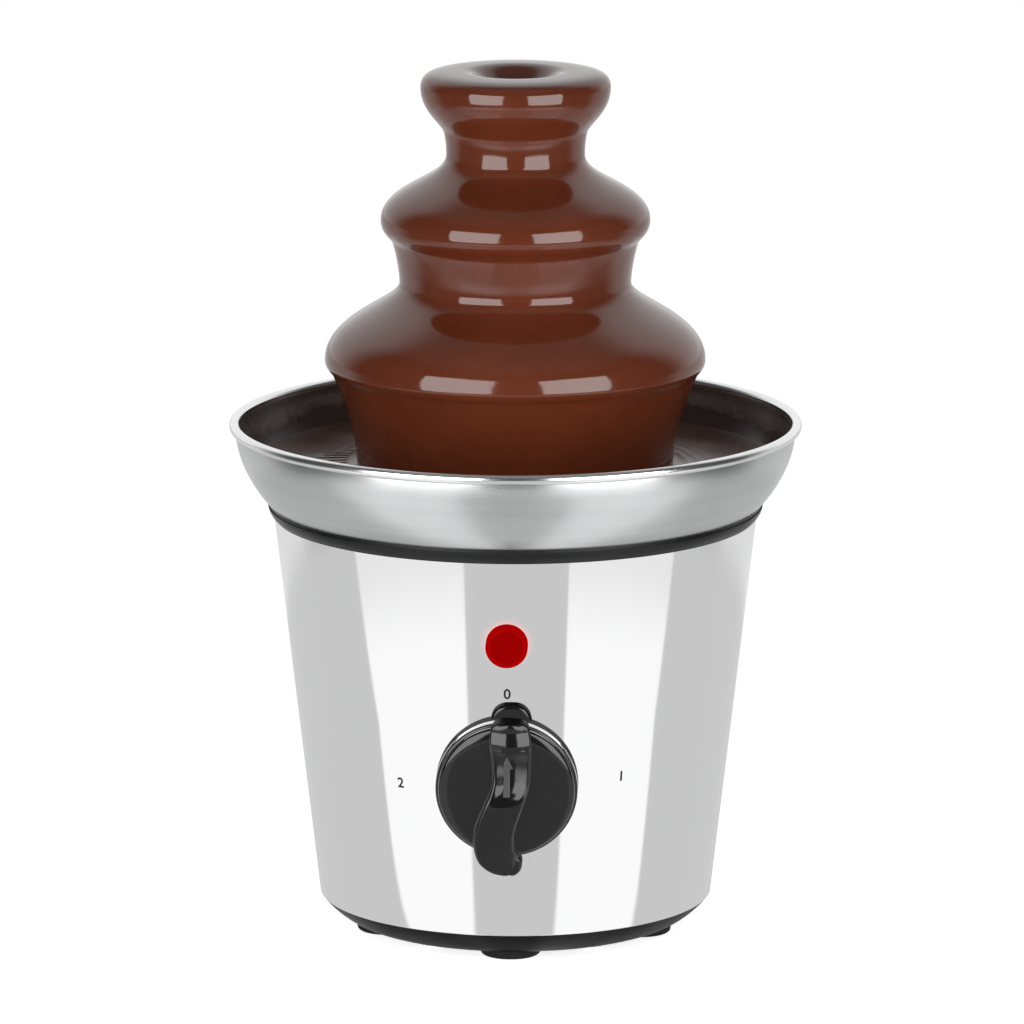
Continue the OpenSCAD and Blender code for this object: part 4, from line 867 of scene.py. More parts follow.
@dataclass
class Bowl:
    """The spun steel bowl with its rolled rim and the pool that it holds."""

    floor_z: float = 133.0
    floor_r: float = 60.0
    hole_r: float = 7.1
    sheet: float = 0.9
    wall_r: float = 92.9
    wall_z: float = 168.5
    roll: float = 1.65
    roll_in: float = 0.45
    roll_up: float = 1.32
    roll_start: float = -105.8
    lower_curve: tuple[Pair, Pair, Pair] = ((67.6, 133.0), (75.37, 137.37), (81.48, 143.7))
    upper_handles: tuple[Pair, Pair] = ((88.22, 150.68), (92.9, 160.1))
    wall_short: float = 0.27
    rim_up: float = 0.1
    floor_slope: float = 0.7
    flat_end: float = 4.0
    flat_rings: int = 10
    pool_z: float = 156.8
    pool_r: float = 89.1
    pool_hole: float = 19.0
    pool_gap: float = 0.15
    pool_rings: int = 120
    pool_under: float = 0.06
    pool_skin: float = 0.2
    pool_margin: Pair = (1.0, 0.5)
    wall_swell: float = 0.05
    wall_reach: Pair = (86.5, 89.0)
    foot_r: float = 52.8
    foot_swell: float = 0.36
    foot_reach: float = 3.2
    ripple_gap: float = 1.5
    ripple_rise: float = 0.05
    ripple_fade: float = 8.0
    streak_half: Pair = (0.34, 0.24)
    streak_up: float = 0.02
    streak_gap: float = 1.0
    streak_shift: float = 0.6
    # Each fold: how far back it starts, half its length, and its tilt in degrees.
    streak_rows: tuple[Point, ...] = (
        (24.0, 4.6, 5.0),
        (17.0, 3.2, 2.0),
        (12.0, 6.2, 1.0),
        (7.5, 5.6, -3.0),
        (3.0, 6.4, -6.0),
        (-2.0, 4.8, -8.0),
        (-7.0, 5.6, -12.0),
    )
    steps: int = 256

    def outside(self) -> Section:
        """Draws the bowl's outside.

        Returns:
            The line from the floor to the wall's top.
        """
        line = Section(self.floor_r, self.floor_z)
        line.bend(*self.lower_curve, 18)
        return line.bend(*self.upper_handles, (self.wall_r, self.wall_z - self.wall_short), 22)

    def sheet_line(self) -> list[Pair]:
        """Draws the sheet with its roll.

        Returns:
            The points of the closed section.
        """
        wall = self.outside()
        inside = wall.beside(self.sheet)
        centre = (self.wall_r + self.roll_in, self.wall_z + self.roll_up)
        inner_r = self.wall_r - self.sheet
        stop = 360 - math.degrees(math.acos((inner_r - centre[0]) / self.roll))
        line = Section(self.hole_r, self.floor_z)
        line.straight((self.floor_r - self.flat_end, self.floor_z), self.flat_rings)
        line.to(*wall.points[:-1])
        line.arc(centre, self.roll, self.roll_start, stop, 28)
        line.to(*reversed(inside[:-1]))
        return line.straight((self.hole_r, self.floor_z + self.sheet), self.flat_rings).points

    def bowl(self) -> BMesh:
        """Makes the bowl and marks its inside for a finish of its own and its rim for the lighter steel of the
        painted sheen.

        Returns:
            The bowl.
        """
        bm = spun(self.sheet_line(), self.steps, True)
        for face in bm.faces:
            centre = face.calc_center_median()
            inward = centre.x * face.normal.x + centre.y * face.normal.y < 0
            # The rim's faces take the lighter steel, a painted sheen.
            if centre.z > (self.wall_z + self.rim_up) * MM:
                face.material_index = 2
            elif inward or face.normal.z > self.floor_slope:
                face.material_index = 1
        return bm

    def pool_height(self, radius: float) -> float:
        """Returns the pool's level at a radius, with its swell round the tower's foot and at the wall."""
        foot = self.foot_swell * math.exp(-(((radius - self.foot_r) / self.foot_reach) ** 2))
        return self.pool_z - self.pool_under + foot + self.wall_swell * ease(*self.wall_reach, radius)

    def ripple(self, radius: float, angle: float) -> float:
        """Shapes the slow folds that run out from the tower's foot.

        Args:
            radius: distance from the axis in millimetres.
            angle: angle round the axis in radians.

        Returns:
            The rise in millimetres.
        """
        out = radius - self.foot_r - self.ripple_gap
        if out < 0:
            return 0.0
        fade = math.exp(-out / self.ripple_fade) * ease(0.0, 2.0, out)
        return self.ripple_rise * fade * math.sin(1.6 * out + 0.7 * math.sin(3 * angle) + 4 * angle)

    def streaks(self) -> BMesh:
        """Makes the thin folds that stream out from the curtain's left foot.

        Returns:
            The folds as one mesh.
        """
        bm = bmesh.new()
        wide, high = self.streak_half
        level = self.pool_z + self.streak_up
        for i, (back, length, tilt) in enumerate(self.streak_rows):
            start = math.sqrt((self.foot_r + self.streak_gap) ** 2 - back**2)
            aside = back + self.streak_shift * i
            centre = Vector((-(start + length) * MM, aside * MM, level * MM))
            size = Matrix.Diagonal((length * MM, wide * MM, high * MM, 1.0))
            place = Matrix.Translation(centre) @ Matrix.Rotation(math.radians(-tilt), 4, "Z") @ size
            bmesh.ops.create_uvsphere(bm, u_segments=20, v_segments=12, radius=1.0, matrix=place)
        return bm

    def pool(self) -> BMesh:
        """Makes the pool with its ripples and folds.

        Returns:
            The pool.
        """
        wall = self.outside().beside(self.sheet + self.pool_gap)
        inside = [point for point in wall if point[1] < self.pool_z - self.pool_margin[1]]
        edge = self.pool_r - self.pool_gap
        skin = (self.pool_z - self.pool_skin) * MM
        line = Section(self.pool_hole, self.floor_z + self.sheet + self.pool_gap)
        line.to(*inside)
        for i in range(self.pool_rings + 1):
            radius = blend(edge, self.pool_hole, i / self.pool_rings)
            line.to((radius, self.pool_height(radius)))
        bm = spun(line.points, self.steps, True)
        for vert in bm.verts:
            radius = math.hypot(vert.co.x, vert.co.y) / MM
            if vert.co.z > skin and radius < edge - self.pool_margin[0]:
                vert.co.z += self.ripple(radius, math.atan2(vert.co.y, vert.co.x)) * MM
        return joined([bm, self.streaks()])

    def build(self) -> None:
        """Makes and dresses the bowl and the pool."""
        card = PieceCard("spun_bowl", Rider.BASE, "bowl_steel", ("bowl",))
        set_down(self.bowl(), card, BOWL_STEEL.material(), BOWL_INSIDE.material(), RIM_STEEL_PAINTED_SHEEN.material())
        # The pool's finish carries painted light: it is lighter and greyer than the running chocolate.
        card = PieceCard("pooled_chocolate", Rider.BASE, "chocolate", ("chocolate_pool",))
        set_down(self.pool(), card, POOL_CHOCOLATE_PAINTED_LIGHT.material())


@dataclass
class Tower:
    """The chocolate that runs down over the three tiers."""

    film: float = 1.0
    sway: float = 0.1
    foot_r: float = 52.8
    foot_z: float = 157.2
    crest_z: float = 288.3
    still_r: float = 20.0
    # Each wave: its size, how often it comes round, its phase, and how it turns with the height.
    waves: tuple[Quad, ...] = ((1.0, 3.0, 1.3, 0.02), (0.6, 7.0, 0.4, -0.013), (0.35, 13.0, 2.2, 0.0))
    wave_top: float = 1.95
    well: Pair = (0.0, 280.3)
    # Each bend of the fall: two handles, the end, and its steps.
    tiers: tuple[tuple[Pair, Pair, Pair, int], ...] = (
        ((8.6, 280.3), (10.32, 288.3), (17.2, 288.3), 16),
        ((27.6, 288.3), (31.5, 288.0), (31.5, 282.9), 20),
        ((31.5, 276.2), (26.6, 272.6), (24.3, 269.2), 16),
        ((23.6, 268.2), (23.0, 264.5), (23.0, 260.5), 10),
        ((23.0, 252.1), (44.7, 249.9), (44.7, 238.8), 24),
        ((44.7, 235.2), (42.7, 234.0), (41.2, 232.1), 14),
        ((40.4, 230.9), (38.5, 221.9), (38.5, 217.9), 12),
        ((38.5, 210.6), (63.3, 206.0), (63.3, 192.0), 28),
        ((63.3, 189.4), (61.5, 188.8), (60.9, 187.4), 14),
    )
    curtain: tuple[Pair, Pair] = ((59.5, 184.6), (52.8, 168.8))
    steps: int = 240

    def fall_line(self) -> Section:
        """Draws the outside of the fall.

        Returns:
            The line from the well in the crown to the curtain's foot.
        """
        line = Section(*self.well)
        for tier in self.tiers:
            line.bend(*tier)
        return line.bend(*self.curtain, (self.foot_r, self.foot_z), 20)

    def drift(self, angle: float, height: float) -> float:
        """Makes the fall a little uneven.

        Args:
            angle: angle round the axis in radians.
            height: height in millimetres.

        Returns:
            How far the chocolate moves out, in millimetres.
        """
        low = 1 - ease(self.foot_z, self.crest_z, height)
        wave = sum(
            size * math.sin(count * angle + phase + height * climb)
            for size, count, phase, climb in self.waves
        )
        return self.sway * blend(0.4, 1.0, low) * (wave - self.wave_top)

    def sheet(self) -> BMesh:
        """Makes the running film.

        Returns:
            One closed skin.
        """
        fall = self.fall_line()
        inner = [(max(0.0, r), z) for r, z in fall.beside(-self.film)]
        foot_in = (inner[-1][0], self.foot_z)
        line = fall.points + [foot_in] + inner[-2:0:-1] + [(0.0, inner[0][1])]
        bm = spun(line, self.steps, False)
        for vert in bm.verts:
            flat = Vector((vert.co.x, vert.co.y, 0))
            radius = flat.length
            if radius > self.still_r * MM:
                angle = math.atan2(vert.co.y, vert.co.x)
                flat *= self.drift(angle, vert.co.z / MM) * MM / radius
                vert.co += flat
        return bm

    def build(self) -> None:
        """Makes and dresses the running chocolate."""
        nodes = ("crown_chocolate", "middle_chocolate", "lower_chocolate")
        card = PieceCard("running_chocolate", Rider.TOWER, "chocolate", nodes, 60.0)
        set_down(self.sheet(), card, CHOCOLATE.material())


@dataclass(frozen=True)
class GripRung:
    """One rung across the knob's grip: its two ends, its underside and its back."""

    left: Vector
    right: Vector
    under: float
    back: float

    @property
    def centre(self) -> Vector:
        """The middle of the rung."""
        return (self.left + self.right) / 2

    @property
    def side(self) -> Vector:
        """The direction from left to right."""
        return (self.right - self.left).normalized()

    @property
    def half(self) -> float:
        """Half the rung's length."""
        return (self.right - self.left).length / 2


@dataclass
class Knob:
    """The domed knob with its tab, its winding grip and the arrow on it."""

    body: Body
    radius: float = 23.2
    gap: float = 0.9
    rim: float = 9.4
    dome: float = 2.8
    edge: float = 1.3
    tab_half: float = 6.8
    tab_right: float = 1.4
    tab_out: float = 4.0
    tab_thick: float = 4.0
    tab_depth: float = 8.0
    tab_edge: float = 1.3
    tab_powers: Pair = (0.72, 0.8)
    pocket_r: float = 8.0
    pocket_top: float = 4.1
    bore_r: float = 3.05
    bore_top: float = 10.9
    grip_edge: float = 1.1
    dip_depth: float = 0.9
    dip_from: Pair = (15.7, 15.0)
    dip_end: Pair = (-1.5, 4.0)
    hollow_depths: Pair = (-0.3, 1.2)
    hollow_from: Pair = (-3.5, 2.5)
    arch: float = 2.5
    arch_from: Pair = (14.6, 15.7)
    head_out: float = 3.2
    tip_out: float = -2.6
    gloss_from: float = 6.7
    tab_side: float = 0.6
    grip_side: float = 0.25
    disc_steps: int = 160
    stations: int = 9
    end_angles: tuple[int, ...] = (88, 80, 70, 58, 44, 28, 12)
    end_powers: Pair = (0.5, 0.9)
    arrow_right: float = 0.3
    arrow_high: float = 0.5
    arrow_sunk: float = 0.35
    arrow_span: float = 3.0
    arrow_half: tuple[Pair, ...] = ((0.0, 12.6), (2.05, 8.8), (1.1, 8.8), (1.1, 4.4), (1.1, 0.0))
    # Each rung: left end, right end, underside and back, with Y up the slope.
    rungs: tuple[tuple[float, ...], ...] = (
        (-5.1, 20.9, 7.8, 20.9, 8.0, 13.6),
        (-5.3, 17.6, 8.2, 17.6, 8.0, 14.8),
        (-4.5, 10.5, 8.1, 10.5, 8.0, 15.9),
        (-4.6, 3.1, 7.6, 3.1, 8.0, 17.3),
        (-7.3, -3.9, 5.3, -3.8, 8.0, 18.3),
        (-10.3, -11.8, 2.8, -11.7, 8.0, 18.6),
        (-10.5, -17.5, 2.4, -16.7, 8.0, 18.2),
        (-9.0, -23.1, 3.0, -19.3, 7.8, 17.2),
        (-5.4, -26.7, 3.6, -20.6, 8.0, 16.2),
        (-1.2, -28.2, 3.9, -20.9, 8.4, 15.4),
        (1.0, -28.2, 3.7, -21.8, 8.6, 14.9),
    )

    @property
    def top(self) -> float:
        """The height of the dome over the shell."""
        return self.gap + self.rim + self.dome

    def dome_line(self) -> list[Pair]:
        """Draws the knob's half section.

        Returns:
            The points from the dome's top round to the bore.
        """
        low, edge, out = self.gap, self.edge, self.radius
        rim_top = low + self.rim
        line = Section(self.pocket_r, low).to((out - edge, low))
        line.bend((out - edge / 2, low), (out, low + edge / 2), (out, low + edge), 6)
        line.straight((out, rim_top - 1.2), 6)
        line.bend((out, rim_top - 0.6), (out - 0.25, rim_top - 0.25), (out - 0.75, rim_top - 0.2), 6)
        line.bend((out - 0.95, rim_top - 0.15), (out - 1.0, rim_top + 0.1), (out - 1.0, rim_top + 0.4), 5)
        line.bend((out - 1.2, rim_top + 2.0), (out * 0.86, self.top), (0.0, self.top), 44)
        under = [(0.0, self.bore_top), (self.bore_r, self.bore_top), (self.bore_r, self.pocket_top)]
        return list(reversed(line.points)) + [(self.pocket_r, self.pocket_top)] + list(reversed(under))

    def tab(self) -> BMesh:
        """Makes the rounded tab that marks the knob's head.

        Returns:
            The tab.
        """
        bm = bmesh.new()
        bmesh.ops.create_circle(bm, cap_ends=True, segments=72, radius=1.0)
        reach = self.radius + self.tab_out
        depth = self.tab_depth
        across, along = self.tab_powers
        for vert in bm.verts:
            x, y = vert.co.x, vert.co.y
            side = self.tab_right + math.copysign(abs(x) ** across, x) * self.tab_half
            rise = math.copysign(abs(y) ** along, y) * depth
            vert.co = Vector((side * MM, (reach - depth + rise) * MM, self.gap * MM))
        raised(bm, self.tab_thick)
        high = (self.gap + self.tab_thick - 0.01) * MM
        ring = [e for e in bm.edges if min(v.co.z for v in e.verts) > high]
        offset = self.tab_edge * MM
        bmesh.ops.bevel(
            bm, geom=ring, offset=offset, segments=5, profile=0.5, affect="EDGES", material=-1
        )
        bmesh.ops.recalc_face_normals(bm, faces=bm.faces)
        return bm

    def rung_at(self, place: float) -> GripRung:
        """Finds a rung on a smooth curve through the given ones.

        Args:
            place: how many of the given rungs lie before it.

        Returns:
            The rung.
        """
        last = len(self.rungs) - 1
        i = min(last - 1, max(0, int(place)))
        t = place - i
        rows = [self.rungs[min(last, max(0, k))] for k in (i - 1, i, i + 1, i + 2)]
        row = []
        for a, b, c, d in zip(*rows):
            bent = 2 * b + (c - a) * t + (2 * a - 5 * b + 4 * c - d) * t * t + (3 * b - a - 3 * c + d) * t**3
            row.append(bent / 2)
        return GripRung(Vector((row[0], row[1], 0)), Vector((row[2], row[3], 0)), row[4], row[5])

    def dip(self, up: float) -> float:
        """Returns how far the back lies lower where the arrow's face begins."""
        return self.dip_depth * ease(*self.dip_from, up) * ease(*self.dip_end, up)

    def hollow(self, up: float) -> float:
        """Returns how far the back's middle lies under its edges: less than 0 on the arched head."""
        low = blend(*self.hollow_depths, ease(*self.hollow_from, up))
        return low - self.arch * ease(*self.arch_from, up)

    def grip_section(self, half: float, under: float, back: float, hollow: float) -> list[Pair]:
        """Draws a section across the grip, with rounded upper edges.

        Args:
            half: half the grip's width.
            under: height of its underside.
            back: height of its back.
            hollow: how far the back's middle lies under its edges.

        Returns:
            Points of side and height.
        """
        edge = min(self.grip_edge, half * 0.6, (back - under) * 0.4)
        turns = 6
        arc = [math.radians(90 * i / turns) for i in range(turns + 1)]
        left = [(-half + edge - edge * math.cos(a), back - edge + edge * math.sin(a)) for a in arc]
        flat = half - edge
        bow = hollow * ease(1.5, 4.0, half)
        middle = [(flat * s, back - bow * (1 - s * s)) for s in (-0.75, -0.5, -0.25, 0.0, 0.25, 0.5, 0.75)]
        right = [(-x, z) for x, z in reversed(left)]
        mid = blend(under, back - edge, 0.5)
        heel = half * 0.96
        return [(-heel, under), (-half, mid), *left, *middle, *right, (half, mid), (heel, under)]

    def grip_rungs(self) -> list[GripRung]:
        """Lists the rungs that the grip is drawn through.

        Returns:
            The rungs, with a rounded head and tip.
        """
        last = len(self.rungs) - 1
        count = last * self.stations
        places = [self.rung_at(i * last / count) for i in range(count + 1)]
        head: list[GripRung] = []
        tip: list[GripRung] = []
        head_row = (head, places[0], self.head_out, self.end_powers[0])
        tip_row = (tip, places[-1], self.tip_out, self.end_powers[1])
        for angle in self.end_angles:
            reach = math.sin(math.radians(angle))
            for ends, rung, out, power in (head_row, tip_row):
                share = math.cos(math.radians(angle)) ** power
                along = Vector((-rung.side.y, rung.side.x, 0)) * (out * reach)
                half = rung.side * (rung.half * share)
                middle = rung.centre + along
                drop = 0.8 * self.grip_edge * (1 - share)
                ends.append(GripRung(middle - half, middle + half, rung.under, rung.back - drop))
        return head + places + list(reversed(tip))

    def grip(self) -> BMesh:
        """Draws the grip out section by section.

        Returns:
            The closed grip.
        """
        bm = bmesh.new()
        edges: list[bmesh.types.BMEdge] = []
        line: list[bmesh.types.BMVert] = []
        for rung in self.grip_rungs():
            up = rung.centre.y
            section = self.grip_section(rung.half, rung.under, rung.back - self.dip(up), self.hollow(up))
            ring = [
                (rung.centre + rung.side * across + Vector((0, 0, height))) * MM for across, height in section
            ]
            if not edges:
                line = [bm.verts.new(p) for p in ring]
                edges = [bm.edges.new(pair) for pair in zip(line, line[1:] + line[:1])]
                continue
            drawn = bmesh.ops.extrude_edge_only(bm, edges=edges)["geom"]
            edges = [e for e in drawn if isinstance(e, bmesh.types.BMEdge) and len(e.link_faces) == 1]
            fresh = {v for e in edges for v in e.verts}
            line = [next(e.other_vert(v) for e in v.link_edges if e.other_vert(v) in fresh) for v in line]
            for vert, point in zip(line, ring):
                vert.co = point
        bmesh.ops.holes_fill(bm, edges=[e for e in bm.edges if e.is_boundary])
        bmesh.ops.recalc_face_normals(bm, faces=bm.faces)
        return bm

    def back_at(self, up: float) -> float:
        """Finds the grip's back.

        Args:
            up: the place up the slope in millimetres.

        Returns:
            The back's height in millimetres.
        """
        last = len(self.rungs) - 1
        count = 400
        places = [self.rung_at(i * last / count) for i in range(count + 1)]
        near = min(places, key=lambda rung: abs(rung.centre.y - up))
        return near.back - self.dip(up) - self.hollow(up) * 0.9

    def arrow(self) -> BMesh:
        """Makes the raised arrow on the grip's back.

        Returns:
            The arrow.
        """
        outline = [*self.arrow_half, *((-x, y) for x, y in reversed(self.arrow_half[1:]))]
        bm = bmesh.new()
        bm.faces.new([bm.verts.new((x * MM, y * MM, 0)) for x, y in outline])
        raised(bm, self.arrow_high)
        lengthy = [e for e in bm.edges if e.calc_length() > self.arrow_span * MM]
        bmesh.ops.subdivide_edges(bm, edges=lengthy, cuts=3)
        for vert in bm.verts:
            vert.co.z += (self.back_at(vert.co.y / MM) - self.arrow_sunk) * MM
            vert.co.x += self.arrow_right * MM
        bmesh.ops.recalc_face_normals(bm, faces=bm.faces)
        return bm

    def build(self) -> None:
        """Makes and dresses the knob, the grip and the arrow."""
        place = self.body.front(self.body.switch_z)
        disc = spun(self.dome_line(), self.disc_steps, False)
        tab, grip = self.tab(), self.grip()
        # The rim's side, the tab's sides and the grip's sides take the darker, dull plastic: painted shade.
        sides = [f for f in disc.faces if f.calc_center_median().z < self.gloss_from * MM]
        sides += [f for f in tab.faces if f.normal.z < self.tab_side]
        sides += [f for f in grip.faces if f.normal.z < self.grip_side]
        for face in sides:
            face.material_index = 1
        for bm, name, nodes, crease, finish in (
            (joined([disc, tab]), "knob_disc", ("knob",), CREASE, KNOB_BLACK),
            (grip, "winding_grip", ("knob_grip",), 50.0, KNOB_BLACK),
            (self.arrow(), "grip_arrow", (), CREASE, ARROW_GREY),
        ):
            card = PieceCard(name, Rider.KNOB, "knob_plastic", nodes, crease, False)
            bmesh.ops.transform(bm, matrix=place, verts=bm.verts)
            set_down(bm, card, finish.material(), KNOB_PAINTED_SHADE.material())


@dataclass
class PilotLamp:
    """The red lens of the pilot lamp with its raised rim."""

    body: Body
    radius: float = 6.9
    height: float = 4.6
    edge: float = 0.8
    rim: float = 0.5
    stem: float = 5.1
    stem_in: float = 3.9
    stem_l: float = 12.0
    face: float = 1.4
    crown: float = 0.3
    dish: float = 0.5
    seat: float = 0.1
    rim_margin: float = 0.4
    steps: int = 96

    def lens(self) -> BMesh:
        """Makes the lens with its hollow stem.

        Returns:
            The lens.
        """
        top, out, edge = self.height, self.radius, self.edge
        rim_in = out - edge - self.rim
        dish = top - self.dish
        under = top - self.face
        line = Section(0.0, top - self.crown)
        line.bend((2.2, top - self.crown), (rim_in - 1.4, dish), (rim_in - 0.5, dish), 12)
        line.bend((rim_in - 0.2, dish), (rim_in - 0.1, top), (rim_in + 0.25, top), 6)
        line.to((out - edge, top))
        line.bend((out - edge / 3, top), (out, top - edge / 3), (out, top - edge), 8)
        line.to((out, self.seat), (self.stem, self.seat), (self.stem, -self.stem_l))
        line.to((self.stem_in, -self.stem_l), (self.stem_in, under), (0.0, under))
        return spun(line.points, self.steps, False)

    def build(self) -> None:
        """Makes and dresses the lens."""
        bm = self.lens()
        rim_from = self.radius - self.edge - self.rim - self.rim_margin
        for face in bm.faces:
            centre = face.calc_center_median() / MM
            if math.hypot(centre.x, centre.y) > rim_from:
                face.material_index = 1
        bmesh.ops.transform(bm, matrix=self.body.front(self.body.lamp_z), verts=bm.verts)
        card = PieceCard("red_lens", Rider.BASE, "lens_red", ("pilot_lens",), mirrored=False)
        set_down(bm, card, LENS_RED.material(), LENS_RIM.material())


@dataclass
class DialMarks:
    """Plain numbers printed round the knob."""

    body: Body
    size: float = 4.8
    bold: float = 0.1
    thick: float = 0.05
    marks: tuple[tuple[str, float, float], ...] = (
        ("0", 0.0, 94.7),
        ("1", 31.0, 64.4),
        ("2", -29.8, 61.6),
    )

    def number(self, text: str, turn: float, height: float) -> BMesh:
        """Makes one number and lays it on the cone.

        Args:
            text: what is printed.
            turn: degrees to the right of the front.
            height: height of the number's middle in millimetres.

        Returns:
            A thin closed mesh.
        """
        curve = bpy.data.curves.new("number", "FONT")
        curve.body = text
        curve.size = self.size * MM
        curve.offset = self.bold * MM
        curve.align_x = "CENTER"
        curve.align_y = "CENTER"
        holder = bpy.data.objects.new("number", curve)
        bpy.context.collection.objects.link(holder)
        flat = bpy.data.meshes.new_from_object(holder.evaluated_get(bpy.context.evaluated_depsgraph_get()))
        bm = bmesh.new()
        bm.from_mesh(flat)
        bpy.data.objects.remove(holder)
        bpy.data.curves.remove(curve)
        bpy.data.meshes.remove(flat)
        bmesh.ops.remove_doubles(bm, verts=bm.verts, dist=MERGE)
        raised(bm, self.thick)
        for vert in bm.verts:
            up = height + vert.co.y / MM * math.cos(self.body.lean)
            out = self.body.radius(up) + vert.co.z / MM * 2 - self.thick / 2
            angle = math.radians(turn) + vert.co.x / MM / out
            vert.co = Vector((math.sin(angle) * out, -math.cos(angle) * out, up)) * MM
        bmesh.ops.recalc_face_normals(bm, faces=bm.faces)
        return bm

    def build(self) -> None:
        """Makes and dresses the numbers."""
        card = PieceCard("dial_numbers", Rider.BASE, "knob_plastic", mirrored=False)
        set_down(joined([self.number(*mark) for mark in self.marks]), card, PRINT_BLACK.material())


class Solids:
    """The CAD nodes that stay in sight or inside, with their finishes."""

    def __init__(self) -> None:
        """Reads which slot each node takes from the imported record."""
        rows = frame["record"]["subparts"]
        self.slots: dict[str, str] = {row["node"]: row["material_slot"] for row in rows}

    def build(self) -> None:
        """Dresses each node that no new piece stands for, and rounds its shading."""
        for name, node in frame["nodes"].items():
            if node.hide_render:
                continue
            node.data.materials.clear()
            node.data.materials.append(SLOT_FINISHES[self.slots[name]].material())
            node.data.shade_smooth()
            weld = node.modifiers.new("weld", "WELD")
            weld.merge_threshold = WELD
            split = node.modifiers.new("edges", "EDGE_SPLIT")
            split.split_angle = math.radians(CREASE)
            LOG.info("%s: %s", name, self.slots[name])


# Studio


@dataclass(frozen=True)
class FloorCard:
    """A white card on the floor that only reflections see.

    Each soft edge is a line: two weights, an offset, and how wide it fades. The card lies inside its
    inner edge and inside at least one of its outer edges.
    """

    inner: Quad
    outer: tuple[Quad, ...]


@dataclass
class Studio:
    """Pale floor, two soft boxes in front and one behind, a white backdrop and the camera."""

    aim: Point = (-0.00117, 0.0, 0.1398)
    distance: float = 3.0
    azimuth: float = 2.1
    elevation: float = 11.8
    lens: float = 316.9
    sensor: float = 36.0
    sight: float = 50.0
    box_distance: float = 0.78
    box_size: float = 0.6
    box_turns: Pair = (-33.8, 38.7)
    box_height: float = 0.31
    box_tilt: float = 6.0
    box_level: float = 3.15
    gleam_level: float = 5.2
    back_level: float = 2.4
    gleam_ahead: float = 0.02
    gleam_bounces: float = 2.5
    floor_half: float = 6.0
    floor_sunk: float = 0.0002
    floor_tone: float = 0.85
    floor_lift: float = 0.83
    floor_grey: float = 0.66
    floor_fade: Pair = (0.1, 0.34)
    card_white: Pair = (1.12, 0.92)
    card_fade: Pair = (0.3, 0.4)
    near_end: Pair = (0.42, 0.5)
    mid_tones: Point = (1.0, 0.3, 0.8)
    mid_end: Pair = (0.52, 0.66)
    box_pool: float = 1.7
    pool_edge: Pair = (0.87, 0.98)
    ahead_edge: Pair = (0.0, 0.5)
    behind_edge: Pair = (-0.1, -0.5)
    far_tones: Pair = (0.12, 0.7)
    front_dark: float = 0.07
    side_white: float = 1.0
    side_turns: Pair = (104.0, 138.0)
    above_grey: float = 0.25
    above_rises: Pair = (42.0, 64.0)
    fill: float = 0.12
    cards: tuple[FloorCard, ...] = (
        FloorCard((-1.0, 0.424, 0.0186, 0.004), ((0.0, -1.0, -0.102, 0.004), (0.217, -1.0, -0.0523, 0.004))),
        FloorCard((1.0, 0.5417, 0.023, 0.004), ((0.0, -1.0, -0.081, 0.004), (-0.1438, -1.0, -0.0458, 0.004))),
    )
    glints: list[bpy.types.Object] = field(default_factory=list)

    def direction(self, turn: float, rise: float) -> Vector:
        """Returns the direction from the fountain at degrees to the right of the front and above level."""
        a, e = math.radians(turn), math.radians(rise)
        return Vector((math.sin(a) * math.cos(e), -math.cos(a) * math.cos(e), math.sin(e)))

    def add(self, name: str, data: Any, place: Vector, target: Vector) -> bpy.types.Object:
        """Adds a lamp or the camera.

        Args:
            name: the object's name.
            data: the lamp's or the camera's data.
            place: where it stands.
            target: what it looks at.

        Returns:
            The object.
        """
        made = bpy.data.objects.new(name, data)
        made.location = place
        made.rotation_euler = (target - place).to_track_quat("-Z", "Y").to_euler()
        bpy.context.collection.objects.link(made)
        return made

    def camera(self) -> None:
        """Sets the camera at the photograph's angle."""
        data = bpy.data.cameras.new("camera")
        data.lens = self.lens
        data.sensor_width = self.sensor
        data.clip_end = self.sight
        aim = Vector(self.aim)
        place = aim + self.direction(self.azimuth, self.elevation) * self.distance
        bpy.context.scene.camera = self.add("camera", data, place, aim)

    def soft_box(self, name: str, level: float, place: Vector, target: Vector) -> bpy.types.Object:
        """Hangs one lamp of a soft box.

        Args:
            name: the lamp's name.
            level: how bright its face is.
            place: where it hangs on the floor plan.
            target: what it looks at.

        Returns:
            The lamp.
        """
        data = bpy.data.lights.new(name, "AREA")
        data.size = self.box_size
        data.energy = level * math.pi * self.box_size**2
        place.z = self.box_height
        return self.add(name, data, place, target)

    def lamps(self) -> None:
        """Hangs the two soft boxes in front, each with lamps for light, for gleam and for glints."""
        drop = self.box_distance * math.tan(math.radians(self.box_tilt))
        target = Vector((0.0, 0.0, self.box_height - drop))
        for i, turn in enumerate(self.box_turns):
            for step, beam in enumerate(Beam):
                place = self.direction(turn, 0.0) * (self.box_distance - self.gleam_ahead * step)
                level = self.box_level if beam is Beam.LIGHT else self.gleam_level
                lamp = self.soft_box(f"soft_{beam.value}_{i}", level, place, target)
                lamp.visible_diffuse = beam is Beam.LIGHT
                lamp.visible_glossy = beam is not Beam.LIGHT
                if beam is Beam.GLEAM:
                    graph = Graph(lamp.data)
                    depth = graph.node("LightPath").outputs["Ray Depth"]
                    early = graph.math("LESS_THAN", depth, self.gleam_bounces)
                    graph.feed(graph.nodes["Emission"], {"Strength": early})
                elif beam is Beam.GLINT:
                    self.glints.append(lamp)

    def back_lamp(self) -> None:
        """Hangs a soft box behind the fountain, so that its back isn't dark."""
        place = self.direction(180.0, 0.0) * self.box_distance
        lamp = self.soft_box("soft_back", self.back_level, place, Vector((0.0, 0.0, self.aim[2])))
        lamp.visible_glossy = False

    def point_glints(self, name: str) -> None:
        """Lets the glint lamps shine on one piece only, so that its neighbours mirror them in it.

        Args:
            name: the piece's name.
        """
        lit = bpy.data.collections.new("glint_receivers")
        lit.objects.link(bpy.data.objects[name])
        for lamp in self.glints:
            lamp.light_linking.receiver_collection = lit

